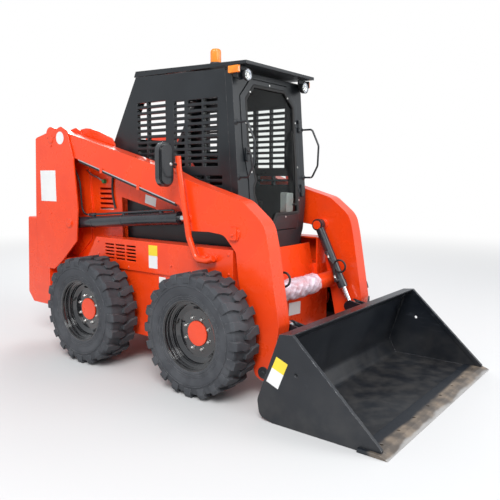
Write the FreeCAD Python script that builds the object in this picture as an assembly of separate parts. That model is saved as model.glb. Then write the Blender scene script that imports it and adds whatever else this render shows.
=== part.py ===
import FreeCAD, Part
import math
import os
from FreeCAD import Vector as V

# Skid steer loader, all sizes in millimetres.
# X points forward, Y to the operator's left, Z up. While modelling, X is measured from the middle
# of the wheelbase; when a piece is written, it moves so that the origin is under the middle of the
# machine's length. Right-hand pieces are modelled at negative Y and mirrored for the left.

# Clearances and fits
GAP = 5
SEAT_GAP = 0.3
PIN_FIT = 0.1

# Sheets and plates
PLATE = 12
CAB_WALL = 30

# Wheels
WHEELBASE = 1083
TYRE_RADIUS = 385
TYRE_WIDTH = 240
TREAD_DEPTH = 19
BEAD_RADIUS = 222
RIM_SHEET = 9
DISC_INSET = 101
DISC_SHEET = 12
AXLE_END_GAP = 54
HUB_RADIUS = 79
HUB_CROWN = 8
AXLE_RADIUS = 36
AXLE_HOUSING_RADIUS = 75
TYRE_CLEARANCE = 25
LUG_COUNT = 20

# Widths of the machine, as half widths from its middle plane
BODY_HALF = 585
ARM_WIDTH = 115
CHAINCASE_WIDTH = 153
CAB_SIDE_GAP = 41
BUCKET_HALF = 827
EDGE_OVERHANG = 18

ARM_OUTER = BODY_HALF
ARM_INNER = ARM_OUTER - ARM_WIDTH
TOWER_OUTER = ARM_OUTER + GAP + PLATE
SIDE_FRAME_OUTER = ARM_INNER - GAP - PLATE
CHAINCASE_INNER = BODY_HALF - PLATE - CHAINCASE_WIDTH
CAB_HALF = SIDE_FRAME_OUTER - PLATE - CAB_SIDE_GAP
TYRE_INNER_Y = BODY_HALF + TYRE_CLEARANCE
TYRE_OUTER_Y = TYRE_INNER_Y + TYRE_WIDTH
TYRE_MID_Y = (TYRE_INNER_Y + TYRE_OUTER_Y) / 2
DISC_Y = TYRE_OUTER_Y - DISC_INSET
LIFT_Y = (ARM_OUTER + ARM_INNER) / 2
FRONT_AXLE = WHEELBASE / 2
REAR_AXLE = -WHEELBASE / 2

# Lower body
FRAME_BOTTOM = 215
CHAINCASE_TOP = 700
FENDER_TOP = 897
FENDER_REAR = -646
BODY_FRONT = 688
BODY_REAR = -1180
REAR_FACE = -1420
GUARD_REAR = -1570
FIREWALL_X = -560
FIREWALL_TOP = 1240
CAB_FLOOR_Z = 440
FOOT_RAMP_Z = 520
HOOD_Z = 1330
HOOD_SHEET = 30
TOWER_FLOOR_Z = 600

# Cab
CAB_LEAN = 4.1
CAB_FRONT_X = 615
SILL_Z = 857
ROOF_Z_REAR = 2104
ROOF_Z_FRONT = 2068
ROOF_FRONT_X = 645
ROOF_REAR_X = -376
ROOF_DEPTH = 40
CAB_BACK_LOW = (-653, 1581)
CAB_BACK_X = -500
CAB_FRAME = 60
PILLAR = 70
DOOR_TOP = 1990
DOOR_BOTTOM = 978
DOOR_DEPTH = 28
DOOR_HALF = CAB_HALF - PILLAR
DOOR_HINGE_Z = (1250, 1720)
HINGE_OUT = 8
HINGE_RADIUS = 11
HINGE_PIN = 6
GLASS = 6

# Arm joints, as (x, z) points of the side view with the arms down
ARM_PIVOT = (-1163, 1638)
LIFT_REAR_PIN = (-955, 985)
LIFT_FRONT_PIN = (311, 1081)
TILT_UPPER_PIN = (700, 995)
TILT_LOWER_PIN = (984, 418)
BUCKET_PIN = (930, 172)
CROSS_TUBE = (785, 590)
CROSS_TUBE_RADIUS = 58

# Pins and cylinders
ARM_PIN_RADIUS = 30
BUCKET_PIN_RADIUS = 25
CYLINDER_PIN_RADIUS = 20
EYE_WALL = 24
LIFT_BARREL_RADIUS = 43
LIFT_ROD_RADIUS = 25
LIFT_EYE_WIDTH = 60
LIFT_ROD_SHOWN = 140
LIFT_ROD_START = 384
TILT_BARREL_RADIUS = 33
TILT_ROD_RADIUS = 19
TILT_EYE_WIDTH = 44
TILT_ROD_SHOWN = 158
TILT_ROD_START = 153
TILT_INSET = 60
TILT_Y = ARM_INNER - TILT_INSET
LIFT_LENGTH = math.dist(LIFT_REAR_PIN, LIFT_FRONT_PIN)
LIFT_BARREL_LENGTH = LIFT_LENGTH - LIFT_ROD_SHOWN
LIFT_ROD_LENGTH = LIFT_LENGTH - LIFT_ROD_START
TILT_LENGTH = math.dist(TILT_UPPER_PIN, TILT_LOWER_PIN)
TILT_BARREL_LENGTH = TILT_LENGTH - TILT_ROD_SHOWN
TILT_ROD_LENGTH = TILT_LENGTH - TILT_ROD_START
GLAND_LENGTH = 54
GLAND_STEP = 3
LINE_RADIUS = 8
HOSE_RADIUS = 7
EAR = 12
EAR_GAP = 7

# Bucket
BUCKET_SHEET = 8
BUCKET_SIDE = 12
BUCKET_TOP_REAR = (1210, 509)
BUCKET_TOP_FRONT = (1290, 518)
BUCKET_BACK_LOW = (1062, 112)
BUCKET_HEEL = (1079, 20)
BUCKET_FLOOR_X = 1165
SHELL_BACK_LOW = (1105, 108)
BUCKET_TIP_X = 1813
LIP_X = 1854
EDGE_REAR_X = 1690
EDGE_THICK = 20
EDGE_HOLE_X = 1770
EDGE_HOLE_RADIUS = 10
EDGE_HOLE_PITCH = 209
EDGE_HOLES = 8
COUPLER_PLATE = 14

ORIGIN_X = (LIP_X + GUARD_REAR) / 2


# Drawing helpers

def rounded_wire(corners, place):
    """A closed wire through (a, b) or (a, b, radius) corners, with arcs at the radii."""
    count = len(corners)
    starts = []
    ends = []
    mids = []
    for i, corner in enumerate(corners):
        here = V(corner[0], corner[1], 0)
        radius = corner[2] if len(corner) > 2 else 0
        before = V(*corners[i - 1][:2], 0) - here
        after = V(*corners[(i + 1) % count][:2], 0) - here
        before.normalize()
        after.normalize()
        if radius <= 0:
            starts.append(here)
            ends.append(here)
            mids.append(None)
            continue
        half = before.getAngle(after) / 2
        reach = radius / math.tan(half)
        middle = before + after
        middle.normalize()
        starts.append(here + before * reach)
        ends.append(here + after * reach)
        mids.append(here + middle * (radius / math.sin(half) - radius))
    edges = []
    for i in range(count):
        if mids[i] is not None:
            edges.append(Part.Arc(place(starts[i]), place(mids[i]), place(ends[i])).toShape())
        edges.append(Part.LineSegment(place(ends[i]), place(starts[(i + 1) % count])).toShape())
    return Part.Wire(edges)


def side_plate(corners, y0, y1):
    """A plate drawn in the side view, from y0 to y1."""
    wire = rounded_wire(corners, lambda p: V(p.x, y0, p.y))
    return Part.Face(wire).extrude(V(0, y1 - y0, 0))


def front_plate(corners, x0, x1):
    """A plate drawn in the front view (y, z), from x0 to x1."""
    wire = rounded_wire(corners, lambda p: V(x0, p.x, p.y))
    return Part.Face(wire).extrude(V(x1 - x0, 0, 0))


def box(x0, x1, y0, y1, z0, z1):
    return Part.makeBox(x1 - x0, y1 - y0, z1 - z0, V(x0, y0, z0))


def pin_y(at, radius, y0, y1):
    """A round pin across the machine at a side-view point."""
    return Part.makeCylinder(radius, y1 - y0, V(at[0], y0, at[1]), V(0, 1, 0))


def rod(start, end, radius):
    """A round bar between two points."""
    run = end - start
    return Part.makeCylinder(radius, run.Length, start, run)


def tube_route(points, bends, radius):
    """A bent round bar: straight runs joined by tangent arcs, one radius for each inner point."""
    edges = []
    last = points[0]
    for before, here, after, bend in zip(points, points[1:], points[2:], bends):
        back = (before - here).normalize()
        ahead = (after - here).normalize()
        half = back.getAngle(ahead) / 2
        reach = bend / math.tan(half)
        middle = (back + ahead).normalize()
        start = here + back * reach
        end = here + ahead * reach
        edges.append(Part.LineSegment(last, start).toShape())
        edges.append(Part.Arc(start, here + middle * (bend / math.sin(half) - bend), end).toShape())
        last = end
    edges.append(Part.LineSegment(last, points[-1]).toShape())
    path = Part.Wire(edges)
    circle = Part.Wire(Part.Circle(points[0], points[1] - points[0], radius).toShape())
    return path.makePipeShell([circle], True, False)


def hose(points, name):
    """A free hose: each arc takes up to 0.45 of the shorter run beside it."""
    bends = []
    for before, here, after in zip(points, points[1:], points[2:]):
        back = before - here
        ahead = after - here
        half = back.getAngle(ahead) / 2
        bends.append(0.45 * min(back.Length, ahead.Length) * math.tan(half))
    shape = tube_route(points, bends, HOSE_RADIUS)
    length = shape.Volume / (math.pi * HOSE_RADIUS ** 2)
    print(name, "radii", [round(bend) for bend in bends], "length", round(length))
    return shape


def fuse(shapes):
    """One shape from pieces that touch."""
    return shapes[0].multiFuse(shapes[1:]).removeSplitter() if len(shapes) > 1 else shapes[0]


def cut(shape, tools):
    return shape.cut(tools) if tools else shape


def mirrored(shape):
    return shape.mirror(V(0, 0, 0), V(0, 1, 0))


def both(shape):
    """A right-hand piece and its mirror image as one shape."""
    return Part.makeCompound([shape, mirrored(shape)])


def write(name, shape):
    """Every node is written as plain solids in the part's own frame."""
    moved = shape.copy()
    moved.translate(V(-ORIGIN_X, 0, 0))
    solids = moved.Solids
    result = solids[0] if len(solids) == 1 else Part.makeCompound(solids)
    result.exportStep("parts/" + name + ".step")


def write_pair(name, shape):
    write(name + "_right", shape)
    write(name + "_left", mirrored(shape))


def along(start, end, distance):
    """The side-view point on the line from start to end, at a distance from start."""
    share = distance / math.hypot(end[0] - start[0], end[1] - start[1])
    return (start[0] + (end[0] - start[0]) * share, start[1] + (end[1] - start[1]) * share)


def beside(start, end, distance, offset):
    """As along, but moved square to the line, upwards for a positive offset."""
    share = offset / math.hypot(end[0] - start[0], end[1] - start[1])
    at = along(start, end, distance)
    return (at[0] - (end[1] - start[1]) * share, at[1] + (end[0] - start[0]) * share)


def at_y(point, y):
    return V(point[0], y, point[1])


# Lower body: chaincases, belly, front and firewall

PAN_LIP_Z = 330
AXLE_PAD = 1.6


def main_frame():
    """The two chaincases with their axle housings, and the sheets between them."""
    half = CHAINCASE_INNER
    pieces = [box(BODY_REAR, BODY_FRONT, -half, half, FRAME_BOTTOM, FRAME_BOTTOM + PLATE)]
    for side in (-1, 1):
        y0, y1 = sorted((side * CHAINCASE_INNER, side * (BODY_HALF - PLATE)))
        case = [(BODY_REAR, FRAME_BOTTOM, 40), (BODY_FRONT, FRAME_BOTTOM, 40), (BODY_FRONT, CHAINCASE_TOP),
                (BODY_REAR, CHAINCASE_TOP)]
        pieces.append(side_plate(case, y0, y1))
        for axle in (REAR_AXLE, FRONT_AXLE):
            y0, y1 = sorted((side * (BODY_HALF - PLATE), side * (DISC_Y - AXLE_END_GAP)))
            pieces.append(pin_y((axle, TYRE_RADIUS), AXLE_HOUSING_RADIUS, y0, y1))
            y0, y1 = sorted((side * (BODY_HALF - PLATE), side * BODY_HALF))
            pieces.append(pin_y((axle, TYRE_RADIUS), AXLE_HOUSING_RADIUS * AXLE_PAD, y0, y1))
    front = [(BODY_FRONT, FRAME_BOTTOM + PLATE), (BODY_FRONT, FOOT_RAMP_Z), (CAB_FRONT_X, SILL_Z - 2),
             (CAB_FRONT_X - PLATE, SILL_Z - 2), (BODY_FRONT - PLATE, FOOT_RAMP_Z - 3),
             (BODY_FRONT - PLATE, FRAME_BOTTOM + PLATE)]
    pieces.append(side_plate(front, -half, half))
    pieces.append(box(FIREWALL_X, FIREWALL_X + PLATE, -half, half, FRAME_BOTTOM, FIREWALL_TOP))
    pieces.append(box(FIREWALL_X, BODY_FRONT - PLATE, -half, half, CAB_FLOOR_Z - PLATE, CAB_FLOOR_Z))
    pieces.append(box(BODY_REAR, BODY_REAR + PLATE, -half, half, FRAME_BOTTOM, PAN_LIP_Z))
    frame = fuse(pieces)
    bores = []
    for side in (-1, 1):
        for axle in (REAR_AXLE, FRONT_AXLE):
            y0, y1 = sorted((side * (SHAFT_END_Y - GAP), side * DISC_Y))
            bores.append(pin_y((axle, TYRE_RADIUS), AXLE_RADIUS + PIN_FIT, y0, y1))
    return cut(frame, bores)


VENT_ROWS = 5
VENT_COLUMNS = 3
VENT_START = (-545, 745)
VENT_PITCH = (118, 25)
VENT_SIZE = (104, 12)
PANEL_LAP = 20
FENDER_TAIL = 111
FENDER_TAIL_RISE = 35


def side_panel():
    """The fender: an outer sheet with a vent grid, its top shelf and its front end."""
    inside = -BODY_HALF + PLATE
    outer = box(FENDER_REAR, BODY_FRONT, -BODY_HALF, inside, CHAINCASE_TOP - PANEL_LAP, FENDER_TOP)
    shelf = box(FENDER_REAR, BODY_FRONT, -BODY_HALF, -SIDE_FRAME_OUTER, FENDER_TOP - PLATE, FENDER_TOP)
    front = box(BODY_FRONT - PLATE, BODY_FRONT, -BODY_HALF, -CHAINCASE_INNER, CHAINCASE_TOP, FENDER_TOP)
    tail_x = FENDER_REAR - FENDER_TAIL
    rear = side_plate([(FENDER_REAR, FENDER_TOP), (FENDER_REAR, CHAINCASE_TOP), (tail_x, CHAINCASE_TOP),
                       (tail_x, CHAINCASE_TOP + FENDER_TAIL_RISE)], -BODY_HALF, -SIDE_FRAME_OUTER)
    slots = []
    for row in range(VENT_ROWS):
        for column in range(VENT_COLUMNS):
            x = VENT_START[0] + column * VENT_PITCH[0]
            z = VENT_START[1] + row * VENT_PITCH[1]
            slots.append(box(x, x + VENT_SIZE[0], -BODY_HALF - 1, inside + 1, z, z + VENT_SIZE[1]))
    return cut(fuse([outer, shelf, front, rear]), slots)


SIDE_SLOT_ROWS = 5
SIDE_SLOT_START = (-760, 1095)
SIDE_SLOT_PITCH = 38
SIDE_SLOT_SIZE = (160, 16)
RAIL = ((CAB_BACK_X, 1195), (CAB_BACK_X, 1330), (480, 1130), (480, 985))
HOOD_FRONT = CAB_BACK_X - 80


def side_frame():
    """The engine's side wall and the rail that slopes forward beside the cab."""
    corners = [(REAR_FACE, PAN_LIP_Z), (BODY_REAR, PAN_LIP_Z), (BODY_REAR, CHAINCASE_TOP),
               (CAB_BACK_X, CHAINCASE_TOP), RAIL[0], RAIL[3], RAIL[2], RAIL[1],
               (HOOD_FRONT, HOOD_Z), (REAR_FACE, HOOD_Z)]
    wall = side_plate(corners, -SIDE_FRAME_OUTER, -SIDE_FRAME_OUTER + PLATE)
    slots = []
    x, low = SIDE_SLOT_START
    for row in range(SIDE_SLOT_ROWS):
        z = low + row * SIDE_SLOT_PITCH
        slots.append(box(x, x + SIDE_SLOT_SIZE[0], -SIDE_FRAME_OUTER - 1, -SIDE_FRAME_OUTER + PLATE + 1,
                         z, z + SIDE_SLOT_SIZE[1]))
    return cut(wall, slots)


TOWER_REAR_X = -1413
TOWER_KNEE_Z = 1021
TOWER_FLOOR_X = BODY_REAR - 2
PIN_HEAD = 10


def tower():
    """The rear upright: two plates and a back, open to the front for the arm."""
    rear = [(-1022, 1732, 30), (-1375, 1656, 30), (TOWER_REAR_X, TOWER_KNEE_Z), (TOWER_REAR_X, TOWER_FLOOR_Z),
            (TOWER_FLOOR_X, TOWER_FLOOR_Z)]
    front = [(-871, 848), (-844, 1096), (-880, 1481), (-955, 1700, 20)]
    outer = side_plate(rear + [(-1054, 690)] + front, -TOWER_OUTER, -TOWER_OUTER + PLATE)
    inner = side_plate(rear + [(TOWER_FLOOR_X, CHAINCASE_TOP), (-1043, CHAINCASE_TOP)] + front,
                       -SIDE_FRAME_OUTER - PLATE, -SIDE_FRAME_OUTER)
    inside_x = TOWER_REAR_X + PLATE
    back = side_plate([(-1368, 1640), (-1375, 1650), (TOWER_REAR_X, TOWER_KNEE_Z), (TOWER_REAR_X, TOWER_FLOOR_Z),
                       (inside_x, TOWER_FLOOR_Z), (inside_x, TOWER_KNEE_Z)], -TOWER_OUTER, -SIDE_FRAME_OUTER)
    floor = box(TOWER_REAR_X, TOWER_FLOOR_X, -TOWER_OUTER, -SIDE_FRAME_OUTER,
                TOWER_FLOOR_Z, TOWER_FLOOR_Z + PLATE)
    pins = [pin_y(ARM_PIVOT, ARM_PIN_RADIUS, -TOWER_OUTER - PIN_HEAD / 2, -SIDE_FRAME_OUTER),
            pin_y(LIFT_REAR_PIN, CYLINDER_PIN_RADIUS, -TOWER_OUTER - PIN_HEAD, -SIDE_FRAME_OUTER),
            pin_y(LIFT_REAR_PIN, CYLINDER_PIN_RADIUS + EYE_WALL / 2, -TOWER_OUTER - PIN_HEAD, -TOWER_OUTER),
            side_plate(pin_lug(LIFT_REAR_PIN), -TOWER_OUTER - PIN_HEAD / 2, -TOWER_OUTER)]
    return fuse([outer, inner, back, floor] + pins)


def pin_lug(at):
    """The keeper plate that stops a pin from turning, as corners of the side view."""
    r = CYLINDER_PIN_RADIUS + EYE_WALL / 2
    return [(at[0] + x * r, at[1] + z * r, r / 2) for x, z in ((-1, 1), (1, 1), (1, -1), (-1, -1))]


GUARD_TOP = 1014
GUARD_EDGE = 14


def rear_guard():
    """The box on the rear corner that guards the engine door."""
    corners = [(-1529, GUARD_TOP), (GUARD_REAR, 369, 20), (-1500, 291, 20), (-1250, 291), (-1250, TOWER_FLOOR_Z),
               (TOWER_REAR_X - 1, TOWER_FLOOR_Z), (TOWER_REAR_X - 1, GUARD_TOP)]
    body = side_plate(corners, -TOWER_OUTER, -SIDE_FRAME_OUTER)
    outline = [(-TOWER_OUTER, FRAME_BOTTOM), (-TOWER_OUTER, GUARD_TOP, GUARD_EDGE),
               (-SIDE_FRAME_OUTER, GUARD_TOP, GUARD_EDGE), (-SIDE_FRAME_OUTER, FRAME_BOTTOM)]
    return body.common(front_plate(outline, GUARD_REAR - 1, BODY_REAR))


HOOD_SLOT_ROWS = 6
HOOD_SLOT_X = REAR_FACE + 140
HOOD_SLOT_PITCH = 44
HOOD_SLOT_SIZE = (20, 0.6)
HOOD_EDGE = 20
ENGINE_X = (-1120, -640)
ENGINE_HALF = 230
ENGINE_TOP = 900


def engine_hood():
    """The hood with its slots; it folds down behind, over the engine door, on a round edge."""
    half = SIDE_FRAME_OUTER - PLATE
    top = box(REAR_FACE, HOOD_FRONT, -half, half, HOOD_Z - HOOD_SHEET, HOOD_Z)
    low = REAR_DOOR_HIGH + GAP + 2
    rear = side_plate([(REAR_FACE, HOOD_Z, HOOD_EDGE), (REAR_FACE, low), (REAR_FACE + REAR_DOOR_DEPTH, low),
                       (REAR_FACE + REAR_DOOR_DEPTH, HOOD_Z)], -half, half)
    edge_x = REAR_FACE + HOOD_EDGE
    edge_z = HOOD_Z - HOOD_EDGE
    corner = side_plate([(REAR_FACE - 1, HOOD_Z + 1), (REAR_FACE - 1, edge_z), (REAR_FACE, edge_z),
                         (REAR_FACE, HOOD_Z, HOOD_EDGE - 0.1), (edge_x, HOOD_Z), (edge_x, HOOD_Z + 1)],
                        -half, half)
    slots = []
    reach = half * HOOD_SLOT_SIZE[1]
    for row in range(HOOD_SLOT_ROWS):
        x = HOOD_SLOT_X + row * HOOD_SLOT_PITCH
        slots.append(box(x, x + HOOD_SLOT_SIZE[0], -reach, reach, HOOD_Z - HOOD_SHEET - 1, HOOD_Z + 1))
    return cut(fuse([top, rear]), [corner] + slots)


def engine_block():
    return box(*ENGINE_X, -ENGINE_HALF, ENGINE_HALF, FRAME_BOTTOM + PLATE, ENGINE_TOP)


# Cab

def front_x(z, depth=0):
    """X on a plane that lies a depth behind the leaning face of the cab's front."""
    lean = math.radians(CAB_LEAN)
    return CAB_FRONT_X - (z - SILL_Z) * math.tan(lean) - depth / math.cos(lean)


def roof_top(x):
    slope = (ROOF_Z_FRONT - ROOF_Z_REAR) / (ROOF_FRONT_X - ROOF_REAR_X)
    return ROOF_Z_REAR + (x - ROOF_REAR_X) * slope


def roof_corner(x, depth=ROOF_DEPTH):
    return (x, roof_top(x) - depth)


# Slot groups of the cab's side: left edge, slot length, lowest and highest z
SLOT_GROUPS = ((-367, 100, 1476, 1856), (-252, 178, 1476, 1856), (9, 100, 1418, 1840), (140, 128, 1418, 1840),
               (284, 125, 1418, 1840), (160, 130, 1290, 1334), (310, 137, 1290, 1334))
SLOT_PITCH = 42
SLOT_HEIGHT = 23


def cab_side():
    """One side wall with its groups of long slots."""
    top_x = front_x(ROOF_Z_FRONT - ROOF_DEPTH, CAB_FRAME + 1)
    corners = [roof_corner(ROOF_REAR_X), CAB_BACK_LOW + (20,), (CAB_BACK_X, 1420), (CAB_BACK_X, CAB_FLOOR_Z),
               (BODY_FRONT - 80, CAB_FLOOR_Z), (BODY_FRONT - 80, FOOT_RAMP_Z + 40),
               (front_x(SILL_Z, CAB_FRAME + 1), SILL_Z), roof_corner(top_x)]
    wall = side_plate(corners, -CAB_HALF, -CAB_HALF + CAB_WALL)
    slots = []
    for x, length, low, high in SLOT_GROUPS:
        for row in range(round((high - low) // SLOT_PITCH) + 1):
            z = low + row * SLOT_PITCH
            slots.append(box(x, x + length, -CAB_HALF - 1, -CAB_HALF + CAB_WALL + 1, z, z + SLOT_HEIGHT))
    return cut(wall, slots)


EAR_WIDTH = 95
EAR_DROP = 112
EAR_TOP = 2046
EAR_SHEET = 6
LAMP_Y = CAB_HALF - 66
LAMP_Z = 1996
LAMP_RADIUS = 33
LAMP_BACK_X = 578


def cab_roof():
    """The roof plate, whose front end overhangs as a visor with an ear at each end for a lamp."""
    corners = [roof_corner(ROOF_REAR_X - 20), roof_corner(ROOF_FRONT_X, ROOF_DEPTH / 2),
               roof_corner(ROOF_FRONT_X, 0), roof_corner(ROOF_REAR_X, 0)]
    plate = side_plate(corners, -CAB_HALF, CAB_HALF)
    low = roof_top(LAMP_BACK_X) - EAR_DROP
    ears = []
    for side in (-1, 1):
        inner = side * (CAB_HALF - EAR_WIDTH)
        ear = [(side * CAB_HALF, low, 22), (side * CAB_HALF, EAR_TOP), (inner, EAR_TOP),
               (inner, low + 40, 22), (side * (CAB_HALF - EAR_WIDTH / 2), low, 22)]
        ears.append(front_plate(ear, LAMP_BACK_X - PLATE, LAMP_BACK_X))
        y0, y1 = sorted((side * CAB_HALF, side * (CAB_HALF - EAR_SHEET)))
        cheek = [(front_x(low, -2), low + 20), (LAMP_BACK_X, low + 10), (LAMP_BACK_X, EAR_TOP),
                 (front_x(EAR_TOP - 26, -2), EAR_TOP - 14)]
        ears.append(side_plate(cheek, y0, y1))
    return fuse([plate] + ears)


REAR_WINDOW_INSET = 105
REAR_WINDOW_Z = (1640, 1960)
REAR_WALL_DEPTH = 43


def rear_wall(depth, z):
    """A point at a depth behind the sloping rear face of the cab, at a height."""
    top = roof_corner(ROOF_REAR_X)
    share = (z - CAB_BACK_LOW[1]) / (top[1] - CAB_BACK_LOW[1])
    return (CAB_BACK_LOW[0] + share * (top[0] - CAB_BACK_LOW[0]) + depth, z)


def cab_rear():
    """The sloping rear wall above the engine hood, with its window."""
    inner = CAB_HALF - CAB_WALL
    inside_x = CAB_BACK_LOW[0] + REAR_WALL_DEPTH
    corners = [roof_corner(ROOF_REAR_X), CAB_BACK_LOW, (inside_x, CAB_BACK_LOW[1]),
               roof_corner(ROOF_REAR_X + 34)]
    wall = side_plate(corners, -inner, inner)
    low = box(inside_x, inside_x + 36, -inner, inner, HOOD_Z + GAP, CAB_BACK_LOW[1] + 4)
    sill, head = REAR_WINDOW_Z
    window = side_plate([rear_wall(-15, head), rear_wall(-15, sill), rear_wall(70, sill), rear_wall(70, head)],
                        -inner + REAR_WINDOW_INSET, inner - REAR_WINDOW_INSET)
    return cut(fuse([wall, low]), [window])


def lean_back(shape):
    """Pieces of the cab's front are drawn upright and lean back about the sill."""
    leaned = shape.copy()
    leaned.rotate(V(CAB_FRONT_X, 0, SILL_Z), V(0, 1, 0), -CAB_LEAN)
    return leaned


# The door in the front view, hinges at positive y: distance in from its half width, z, corner radius
GLASS_RIGHT = [(182, 1034, 14), (98, 1228, 10), (98, 1282, 10), (124, 1322, 10), (62, 1560, 30), (62, 1855, 12),
               (152, 1946, 12)]
GLASS_LEFT = [(152, 1946, 12), (46, 1850, 12), (46, 1092, 14)]
GLASS_STEP = [(12, 1092, 14), (-28, 1034, 14)]
DOOR_RIGHT = [(134, DOOR_BOTTOM, 20), (44, 1206, 20), (44, 1322, 20), (0, 1560, 40), (0, 1872, 20),
              (118, DOOR_TOP, 20)]
DOOR_LEFT = [(118, DOOR_TOP, 20), (0, 1872, 20), (0, 1170, 20), (68, DOOR_BOTTOM, 20)]


def door_corners(right, left):
    """Corners of the door from the two sides' distances in from its half width."""
    return ([(inset - DOOR_HALF, z, radius) for inset, z, radius in right]
            + [(DOOR_HALF - inset, z, radius) for inset, z, radius in left])


DOOR_GLASS = door_corners(GLASS_RIGHT, GLASS_LEFT) + GLASS_STEP
DOOR_OUTER = door_corners(DOOR_RIGHT, DOOR_LEFT)


FRAME_SETBACK = 4
KNUCKLE_HALF = 15
KNUCKLE_END = 45
LATCH_Z = (1450, 1540)
LATCH_OUT = 16
GASKET_LIP = 14
GLASS_DEPTH = 17


def grown(corners, distance):
    """A front-view outline moved outwards by a distance."""
    wire = rounded_wire(corners, lambda p: V(0, p.x, p.y))
    return Part.Face(wire.makeOffset2D(distance))


def hinge_piece(z0, z1, radius):
    """A length of the door hinge's barrel or pin."""
    return Part.makeCylinder(radius, z1 - z0, V(CAB_FRONT_X + HINGE_OUT, DOOR_HALF + HINGE_OUT, z0))


def cab_front():
    """The front frame round the door, and the sill below it."""
    top = ROOF_Z_FRONT - ROOF_DEPTH + 2
    corners = [(-CAB_HALF, 1180), (-CAB_HALF, top), (CAB_HALF, top), (CAB_HALF, 1180), (CAB_HALF - 55, 968),
               (CAB_HALF - 120, SILL_Z), (120 - CAB_HALF, SILL_Z), (55 - CAB_HALF, 968)]
    frame = front_plate(corners, CAB_FRONT_X - CAB_FRAME, CAB_FRONT_X - FRAME_SETBACK)
    hole = grown(DOOR_OUTER, GAP)
    hole.translate(V(CAB_FRONT_X - CAB_FRAME - 1, 0, 0))
    hinges = []
    inner = KNUCKLE_HALF + 1
    for z in DOOR_HINGE_Z:
        for z0, z1 in ((z - KNUCKLE_END, z - inner), (z + inner, z + KNUCKLE_END)):
            hinges.append(box(CAB_FRONT_X - FRAME_SETBACK, CAB_FRONT_X + FRAME_SETBACK, DOOR_HALF + HINGE_OUT,
                              DOOR_HALF + 45, z0, z1))
            hinges.append(hinge_piece(z0, z1, HINGE_RADIUS))
        hinges.append(hinge_piece(z - 2 * KNUCKLE_HALF, z + 2 * KNUCKLE_HALF, HINGE_PIN))
    return lean_back(fuse([cut(frame, [hole.extrude(V(CAB_FRAME, 0, 0))])] + hinges))


def door_frame():
    """The door's leaf with the shaped glass opening, the latch and the hinge knuckles."""
    outer = front_plate(DOOR_OUTER, CAB_FRONT_X - DOOR_DEPTH, CAB_FRONT_X)
    hole = front_plate(DOOR_GLASS, CAB_FRONT_X - DOOR_DEPTH - 1, CAB_FRONT_X + 1)
    lip = grown(DOOR_GLASS, GASKET_LIP)
    lip.translate(V(CAB_FRONT_X - 4, 0, 0))
    frame = cut(outer, [hole, lip.extrude(V(5, 0, 0))])
    knuckles = []
    bores = []
    for z in DOOR_HINGE_Z:
        z0, z1 = z - KNUCKLE_HALF, z + KNUCKLE_HALF
        knuckles.append(box(CAB_FRONT_X, CAB_FRONT_X + 4, DOOR_HALF - 30, DOOR_HALF + HINGE_OUT, z0, z1))
        knuckles.append(hinge_piece(z0, z1, HINGE_RADIUS))
        bores.append(hinge_piece(z0 - 5, z1 + 5, HINGE_PIN + PIN_FIT))
    low, high = LATCH_Z
    outer_y, inner_y = 12 - DOOR_HALF, 50 - DOOR_HALF
    latch = [(outer_y, low, 8), (outer_y, high, 8), (inner_y, high, 8), (inner_y, low, 8)]
    knuckles.append(front_plate(latch, CAB_FRONT_X, CAB_FRONT_X + LATCH_OUT))
    return lean_back(cut(fuse([frame] + knuckles), bores))


def door_glass():
    return lean_back(front_plate(DOOR_GLASS, CAB_FRONT_X - GLASS_DEPTH, CAB_FRONT_X - GLASS_DEPTH + GLASS))


# Seat and controls

SEAT_TOP = 760
SEAT_HALF = CAB_HALF - 190
SEAT_X = (-330, 120)
SEAT_BRACKET = (38, 50)
CUSHION_REAR = (-300, 87)
CUSHION_FRONT = (180, 97)
BACK_HEIGHT = 560
LAP_BAR_RADIUS = 14
LAP_BAR_Z = (925, 985)
LAP_BAR_X = (-280, 60, 110)


def seat_frame():
    """The seat's box and the lap bar that swings over it."""
    rear, front = SEAT_X
    inner, outer = SEAT_BRACKET
    low = SEAT_TOP - 120
    high = LAP_BAR_Z[0] + 35
    stand = box(rear, front, -SEAT_HALF, SEAT_HALF, CAB_FLOOR_Z, SEAT_TOP)
    bracket = side_plate([(rear, low), (rear + 100, low), (rear + 100, high, 30), (rear, high, 30)],
                         -SEAT_HALF - outer, -SEAT_HALF - inner)
    foot = box(rear, rear + 100, -SEAT_HALF - outer, -SEAT_HALF, low, low + PLATE)
    pivot_x, bend_x, front_bar_x = LAP_BAR_X
    y = SEAT_HALF + (inner + outer) / 2
    half_bar = [V(pivot_x, -y, LAP_BAR_Z[0]), V(bend_x, -y, LAP_BAR_Z[1]),
                V(front_bar_x, -SEAT_HALF + 20, LAP_BAR_Z[1] + 5)]
    points = half_bar + [V(p.x, -p.y, p.z) for p in reversed(half_bar)]
    bar = tube_route(points, [30, 30, 30, 30], LAP_BAR_RADIUS)
    return fuse([stand, bracket, foot, mirrored(bracket), mirrored(foot), bar])


def seat_cushion():
    low = SEAT_TOP + SEAT_GAP
    half = SEAT_HALF + 20
    return side_plate([(CUSHION_REAR[0], low), (CUSHION_FRONT[0] - 10, low),
                       (CUSHION_FRONT[0], low + CUSHION_FRONT[1], 30), (CUSHION_REAR[0], low + CUSHION_REAR[1])],
                      -half, half)


def on_cushion(x):
    """A point just above the cushion's sloping top."""
    slope = (CUSHION_FRONT[1] - CUSHION_REAR[1]) / (CUSHION_FRONT[0] - CUSHION_REAR[0])
    return (x, SEAT_TOP + CUSHION_REAR[1] + (x - CUSHION_REAR[0]) * slope + 2 * SEAT_GAP)


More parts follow.
